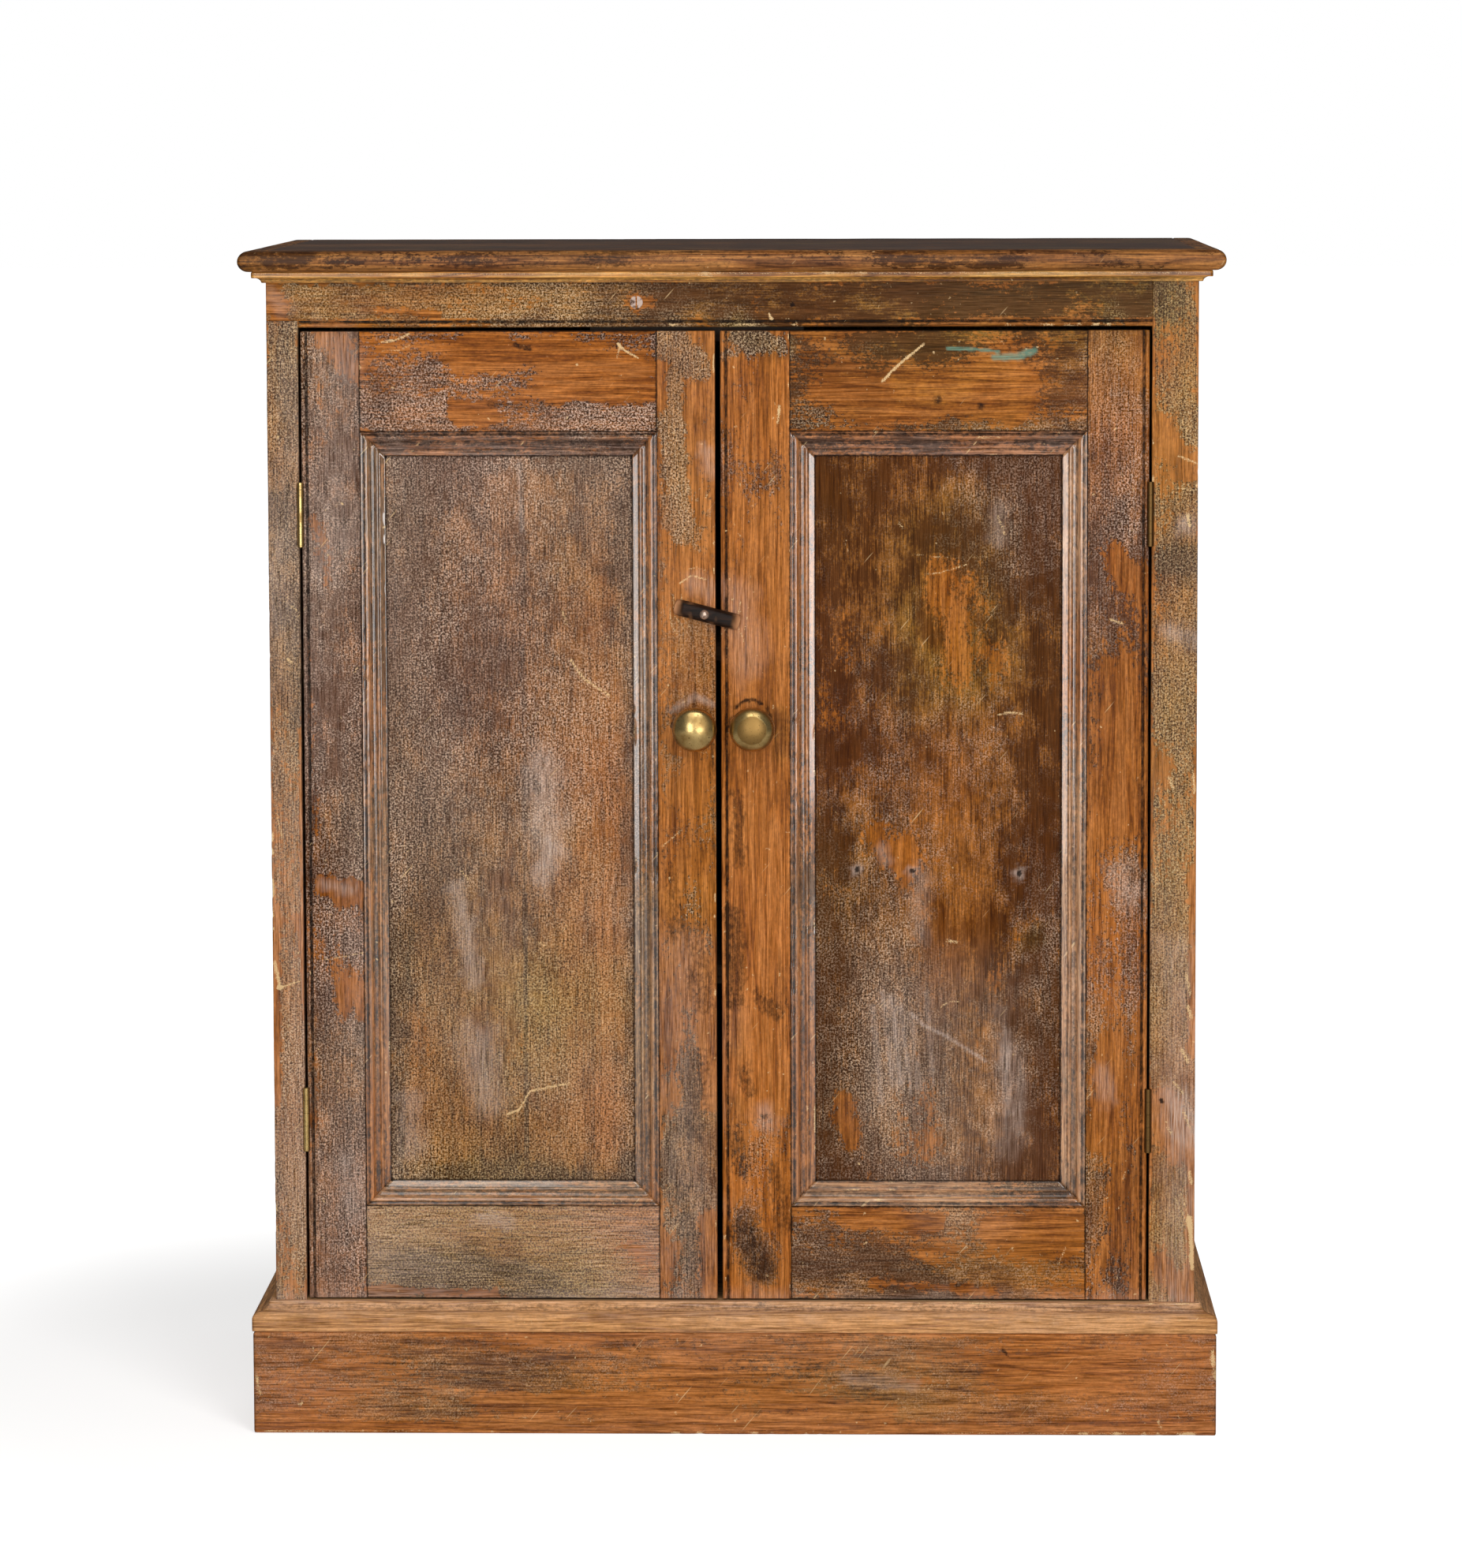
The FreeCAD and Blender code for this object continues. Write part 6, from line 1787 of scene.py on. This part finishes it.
@dataclass
class Carcass:
    """The sides, the moulded top, the plinth and the boards inside.

    Steps are spacings of points, edging is the width of the strip round the top, and the bed and base sizes
    are heights, depths and radii of the two mouldings' parts.
    """

    shop: Workshop
    side_look: Look = Look(wear=0.3, crust=0.5, dark=0.5, olive=0.5, bloom=0.1, edge=0.8, seed=41)
    top_look: Look = Look(wear=0.15, crust=0.5, dark=0.7, olive=0.0, bloom=0.06, seed=51)
    nose_look: Look = Look(wear=0.52, crust=0.1, dark=0.55, olive=0.1, bloom=0.0, seed=61)
    # the bed mould is rubbed nearly bare, which also makes it paler: partly a painted highlight
    bed_look: Look = Look(wear=0.95, crust=0.05, dark=0.2, olive=0.2, bloom=0.0, edge=0.4, seed=71)
    # the base mould is rubbed pale, partly painted light on its upward slope
    base_look: Look = Look(wear=0.9, crust=0.1, dark=0.05, olive=0.2, bloom=0.2, edge=0.6, seed=81)
    plinth_look: Look = Look(wear=0.45, crust=0.2, dark=0.5, olive=0.25, bloom=0.12, edge=0.8, seed=91)
    side_step: float = 4.5 * MM
    side_back_step: float = 36.0 * MM
    top_step: float = 4.0 * MM
    top_back_step: float = 40.0 * MM
    round_step: float = 3.2 * MM
    edging: float = 27.0 * MM
    bed_fillet: float = 6.2 * MM
    bed_cove: float = 7.2 * MM
    bed_lip: float = 4.0 * MM
    bed_lip_height: float = 1.4 * MM
    bed_step: float = 0.8 * MM
    base_fillet: float = 11.2 * MM
    base_ledge: float = 6.6 * MM
    base_round: float = 7.6 * MM
    base_hollow: float = 8.4 * MM

    def build(self) -> None:
        """Make the outer pieces and put them on the carcass."""
        back_edge, back_face = (float(place) for place in self.shop.box("back_board_1")[0][:2])
        for name, sign in (("left_side", -1), ("right_side", 1)):
            low, high = self.shop.box(name)
            inner = float(high[0] if sign < 0 else -low[0])
            rebate = (float(high[1]) - back_face + SEAT_ROOM, inner - back_edge + SEAT_ROOM)
            board = Board(name, low, high, Axis.UPRIGHT, Axis.ACROSS, sign, step=self.side_step,
                          back_step=self.side_back_step, rebate=rebate)
            self.shop.hang(board.run(self.side_look).build(), name, Finish.UPRIGHT)
        low, high = self.shop.box("top_board")
        board = Board("top_board", low, high, Axis.ACROSS, Axis.UPRIGHT, 1, (TIGHT, PLAIN), self.top_step,
                      self.top_back_step)
        self.shop.hang(board.run(self.top_look).build(), "top_board", Finish.TOP_ACROSS, DARK_SLOT)
        lengths = (
            ("top_edging", self.bull_nose(), self.nose_look, Finish.TOP_ACROSS, Finish.TOP_DEEP, DARK_SLOT),
            ("bed_mould", self.bed_mould(), self.bed_look, Finish.BED_ACROSS, Finish.BED_DEEP, VARNISH_SLOT),
            ("base_mould", self.base_mould(), self.base_look, Finish.BASE_ACROSS, Finish.BASE_DEEP,
             VARNISH_SLOT),
            ("plinth", self.plinth_board(), self.plinth_look, Finish.BRUSHED_ACROSS, Finish.BRUSHED_DEEP,
             VARNISH_SLOT),
        )
        for name, section, look, front, sides, slot in lengths:
            self.go_round(name, section, look, (front, sides), slot)

    def reach_and_height(self, name: str) -> tuple[float, float]:
        """How far a moulding stands out from the face of the frame, and how tall it is."""
        low, high = self.shop.box(name + "_front")
        return self.shop.face() - float(low[1]), float(high[2] - low[2])

    def bull_nose(self) -> Array:
        """The top edging's section: a flat strip with a half-round edge.

        Returns:
            The closed outline.
        """
        reach, thick = self.reach_and_height("top_edging")
        nose = thick / 2.0
        inner = reach - self.edging
        outline = [(inner, 0.0)]
        outline += arc((reach - nose, 0.0), (reach, nose), nose, -1)
        outline += arc((reach, nose), (reach - nose, thick), nose, -1)
        return worn_section(outline + [(reach - nose, thick), (inner, thick)], 1.8 * MM)

    def bed_mould(self) -> Array:
        """The bed mould's section: a lip, a cove and a fillet under the top.

        Returns:
            The closed outline.
        """
        reach, tall = self.reach_and_height("bed_mould")
        fillet, edge = tall - self.bed_fillet, reach - self.bed_step
        outline = [(0.0, 0.0), (self.bed_lip, 0.0)]
        outline += arc((self.bed_lip, self.bed_lip_height), (edge, fillet), self.bed_cove, 1)
        outline += [(edge, fillet), (reach, fillet), (reach, tall), (0.0, tall)]
        return worn_section(outline, 0.9 * MM)

    def base_mould(self) -> Array:
        """The base mould's section: a fillet and an ogee up to a narrow ledge.

        Returns:
            The closed outline.
        """
        reach, tall = self.reach_and_height("base_mould")
        fillet, ledge = self.base_fillet, self.base_ledge
        middle = ((reach + ledge) / 2.0, (fillet + tall) / 2.0)
        outline = [(0.0, 0.0), (reach, 0.0)]
        outline += arc((reach, fillet), middle, self.base_round, -1)
        outline += arc(middle, (ledge, tall), self.base_hollow, 1)
        return worn_section(outline + [(ledge, tall), (0.0, tall)], 1.2 * MM)

    def plinth_board(self) -> Array:
        """The plinth's section: a plain board."""
        reach, tall = self.reach_and_height("plinth")
        return worn_section([(0.0, 0.0), (reach, 0.0), (reach, tall), (0.0, tall)], 2.0 * MM)

    def go_round(self, name: str, section: Array, look: Look, finishes: tuple[Finish, Finish],
                 slot: str) -> None:
        """Carry a section round the front and sides of the carcass, mitred at the front corners.

        Args:
            name: the nodes' common name.
            section: the outline, as distance out from the carcass and up.
            look: the age of its varnish.
            finishes: the finish of the front, and of the sides.
            slot: handed on to hang.
        """
        x_axis, y_axis, z_axis = np.eye(3)
        side_low, side_high = self.shop.box("left_side")
        left, back = float(side_low[0]), float(side_high[1])
        right = float(self.shop.box("right_side")[1][0])
        face = self.shop.face()
        foot = float(self.shop.box(name + "_front")[0][2])
        runs = (
            ("front", (left, face), x_axis, -y_axis, right - left, (1.0, 1.0), finishes[0]),
            ("left", (left, face), y_axis, -x_axis, back - face, (1.0, 0.0), finishes[1]),
            ("right", (right, face), y_axis, x_axis, back - face, (1.0, 0.0), finishes[1]),
        )
        for side, (x, y), along, out, length, mitres, finish in runs:
            node = f"{name}_{side}"
            run = Run(node, np.array([x, y, foot]), along, out, z_axis, length, section, look,
                      mitres=mitres, step=self.round_step)
            self.shop.hang(run.build(), node, finish, slot)

    def dress(self) -> None:
        """Finish the boards and ironwork that keep the frame's own shape."""
        for node in ("floor_board", "rear_top_rail", "frame_lower_rail"):
            self.shop.finish_node(node, Finish.BARE_ACROSS)
        for node in ("shelf_lower", "shelf_upper"):
            # the shelves are darkened: painted shade where they show through the gap
            self.shop.finish_node(node, Finish.SHADED_SHELF_ACROSS)
        # the door stop behind the gap between the doors is painted near black, as shade
        self.shop.finish_node("door_stop_batten", Finish.SHADE_BLACK_ACROSS)
        self.shop.finish_node("shelf_bearers", Finish.BARE_DEEP)
        backs = [node for node in self.shop.frame["nodes"] if node.startswith("back_board_")]
        for number, node in enumerate(sorted(backs)):
            self.shop.finish_node(node, (Finish.BARE_UPRIGHT, Finish.KNOTTY_UPRIGHT)[number % 2])
        for node in ("frame_hinge_leaves", "hinge_pins"):
            self.shop.finish_node(node, Finish.BRASS)
        self.shop.finish_node("rail_screws", Finish.SCREW_IRON)
        self.shop.finish_node("frame_hinge_screws", Finish.IRON)


@dataclass(frozen=True)
class SoftBox:
    """A soft lamp.

    Attributes:
        name: its name.
        spot: where it stands.
        aim: what it looks at.
        size: its width and height.
        power: its power in watts.
    """

    name: str
    spot: tuple[float, float, float]
    aim: tuple[float, float, float]
    size: tuple[float, float]
    power: float

    def build(self) -> None:
        """Make the lamp, which lights but isn't seen itself."""
        data = bpy.data.lights.new(self.name, "AREA")
        data.shape = "RECTANGLE"
        data.size, data.size_y = self.size
        data.energy = self.power
        lamp = bpy.data.objects.new(self.name, data)
        turn = (Vector(self.aim) - Vector(self.spot)).to_track_quat("-Z", "Y").to_matrix().to_4x4()
        lamp.matrix_world = Matrix.Translation(self.spot) @ turn
        lamp.visible_camera = False
        bpy.context.scene.collection.objects.link(lamp)


SOFT_BOXES = (
    SoftBox("right_box", (1.2, -3.4, 1.3), (0.0, -0.2, 0.55), (1.2, 2.3), 50.0),
    SoftBox("left_box", (-0.85, -3.4, 1.2), (0.0, -0.2, 0.6), (1.1, 2.3), 31.0),
    SoftBox("upper_box", (0.1, -2.3, 3.3), (0.0, -0.2, 0.5), (2.4, 1.6), 35.0),
)


@dataclass(frozen=True)
class Studio:
    """The pale floor, the soft lights and the camera.

    Attributes:
        eye: where the camera stands.
        yaw, pitch, roll: its turn in degrees.
        lens: its focal length for a picture as wide as the sensor.
        sensor: the sensor's width in millimetres.
        shift: how far the picture is shifted up, in picture widths.
        air: strength of the light from all round.
        fade_shift: the move that brings the middle of the floor's shade to the origin.
        fade_from, fade_to, fade_least: where the floor fades into white, and how white its middle is.
    """

    eye: tuple[float, float, float] = (0.1354, -5.6012, 1.3139)
    yaw: float = 1.450
    pitch: float = -5.260
    roll: float = 0.160
    lens: float = 135.65
    sensor: float = 36.0
    shift: float = -0.1155
    white: str = "#ffffff"
    floor_grey: str = "#e6e4e2"
    air: float = 0.13
    floor_reach: float = 40.0
    fade_shift: tuple[float, float, float] = (0.3, 0.0, 0.0)
    fade_from: float = 0.45
    fade_to: float = 1.1
    fade_least: float = 0.62

    def build(self) -> None:
        """Set up the floor, world, lights and camera."""
        bpy.context.scene.view_settings.view_transform = "Standard"
        self.add_world()
        self.add_floor()
        for box in SOFT_BOXES:
            box.build()
        self.add_camera()

    def add_world(self) -> None:
        """Soft light from all round, and plain white where the camera itself looks."""
        world = bpy.data.worlds.new("studio_air")
        bpy.context.scene.world = world
        world.use_nodes = True
        world.node_tree.nodes.clear()
        add = Nodes(world.node_tree).add
        seen = add("LightPath", out="Is Camera Ray")
        light = add("Background", sockets={"Color": linear(self.white), "Strength": self.air})
        view = add("Background", sockets={"Color": linear(self.white), "Strength": 1.0})
        both = add("MixShader", sockets={0: seen, 1: light, 2: view})
        add("OutputWorld", sockets={0: both})

    def add_floor(self) -> None:
        """A wide floor that fades into the white air; its glow is weakest round a point left of the cupboard,
        which paints shade there and lets the real shadow show.
        """
        mesh = bpy.data.meshes.new("floor")
        signs = ((-1.0, -1.0), (1.0, -1.0), (1.0, 1.0), (-1.0, 1.0))
        corners = [(x * self.floor_reach, y * self.floor_reach, 0.0) for x, y in signs]
        mesh.from_pydata(corners, [], [(0, 1, 2, 3)])
        floor = bpy.data.objects.new("floor", mesh)
        bpy.context.scene.collection.objects.link(floor)
        material, nodes = new_material("pale_floor")
        add = nodes.add
        place = add("TexCoord", out="Object")
        beside = add("VectorMath", ADD, {0: place, 1: self.fade_shift}, out="Vector")
        far = add("VectorMath", {"operation": "LENGTH"}, {0: beside}, out="Value")
        fading = add("MapRange", SMOOTH, {0: far, 1: self.fade_from, 2: self.fade_to,
                                          3: self.fade_least, 4: 1.0})
        seen = add("Math", MULTIPLY, {0: fading, 1: add("LightPath", out="Is Camera Ray")})
        matt = add("BsdfDiffuse", sockets={"Color": linear(self.floor_grey)})
        glow = add("Emission", sockets={"Color": linear(self.white), "Strength": seen})
        both = add("AddShader", sockets={0: matt, 1: glow})
        add("OutputMaterial", sockets={0: both})
        mesh.materials.append(material)

    def add_camera(self) -> None:
        """The camera at the photograph's viewing angle: turned about Z, then X, then Y."""
        data = bpy.data.cameras.new("camera")
        data.sensor_fit = "HORIZONTAL"
        data.sensor_width = self.sensor
        data.lens = self.lens
        data.shift_y = self.shift
        camera = bpy.data.objects.new("camera", data)
        turn = (Matrix.Rotation(math.radians(self.yaw), 4, "Z")
                @ Matrix.Rotation(math.radians(self.pitch), 4, "X")
                @ Matrix.Rotation(math.radians(self.roll), 4, "Y")
                @ Matrix.Rotation(math.pi / 2, 4, "X"))
        camera.matrix_world = Matrix.Translation(self.eye) @ turn
        bpy.context.scene.collection.objects.link(camera)
        bpy.context.scene.camera = camera


def door_looks(seed: int, **changed: Look) -> dict[str, Look]:
    """The age of every piece of a door.

    Args:
        seed: the first random field.
        changed: pieces that differ from the usual look.

    Returns:
        A look for each piece.
    """
    names = ("hanging", "meeting", "top_rail", "bottom_rail", "panel",
             "mould_top", "mould_bottom", "mould_left", "mould_right")
    usual = {name: Look(wear=0.45, crust=0.1, dark=0.35, olive=0.1, bloom=0.28, seed=seed + 10 * number)
             for number, name in enumerate(names)}
    # the bottom mould faces up: more wear and haze make it paler, partly painted light on its upper slopes
    usual["mould_bottom"] = Look(wear=0.6, crust=0.2, dark=0.15, olive=0.2, bloom=0.5, edge=0.7,
                                 seed=seed + 60)
    return usual | changed


def main() -> None:
    """Load the frame, build each sub-assembly on it and set up the studio."""
    logging.basicConfig(level=logging.INFO, format="%(message)s")
    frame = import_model()
    shop = Workshop(frame)
    left = Door(shop, "left", BEADED, PLAIN, door_looks(
        101,
        hanging=Look(wear=0.22, crust=0.5, dark=0.78, olive=0.05, bloom=0.14, patch=1.8, seed=111),
        meeting=Look(wear=0.45, crust=0.45, dark=0.45, olive=0.4, bloom=0.06, edge=0.8, seed=121),
        top_rail=Look(wear=0.38, crust=0.4, dark=0.85, olive=0.0, bloom=0.0, edge=0.4, seed=131),
        bottom_rail=Look(wear=0.2, crust=0.85, dark=0.3, olive=0.8, bloom=0.3, patch=2.0, seed=141),
        panel=Look(wear=0.1, crust=0.72, dark=0.57, olive=0.35, bloom=0.07, edge=0.2, patch=1.5, seed=151)))
    right = Door(shop, "right", BEADED, BEADED, door_looks(
        201,
        hanging=Look(wear=0.4, crust=0.35, dark=0.58, olive=0.15, bloom=0.05, seed=211),
        meeting=Look(wear=0.66, crust=0.25, dark=0.25, olive=0.2, bloom=0.07, edge=0.7, seed=221),
        top_rail=Look(wear=0.42, crust=0.35, dark=0.5, olive=0.5, bloom=0.03, patch=0.7, seed=231),
        bottom_rail=Look(wear=0.38, crust=0.3, dark=0.5, olive=0.3, bloom=0.05, edge=0.7, seed=241),
        panel=Look(wear=0.22, crust=0.05, dark=0.85, olive=0.25, bloom=0.01, edge=0.2, patch=1.2, seed=251),
        # the right door's right mould is paler, with more haze: partly a painted highlight on its slopes
        mould_right=Look(wear=0.65, crust=0.1, dark=0.15, olive=0.1, bloom=0.45, seed=281)))
    knobs = (Knob(shop, "left", 0.0, 301), Knob(shop, "right", 0.6, 311))
    latch, carcass = Latch(shop), Carcass(shop)
    for part in (FaceFrame(shop), left, right, *knobs, latch, carcass):
        part.build()
    for part in (left, right, latch, carcass):
        part.dress()
    Studio().build()


if __name__ == "__main__":
    main()
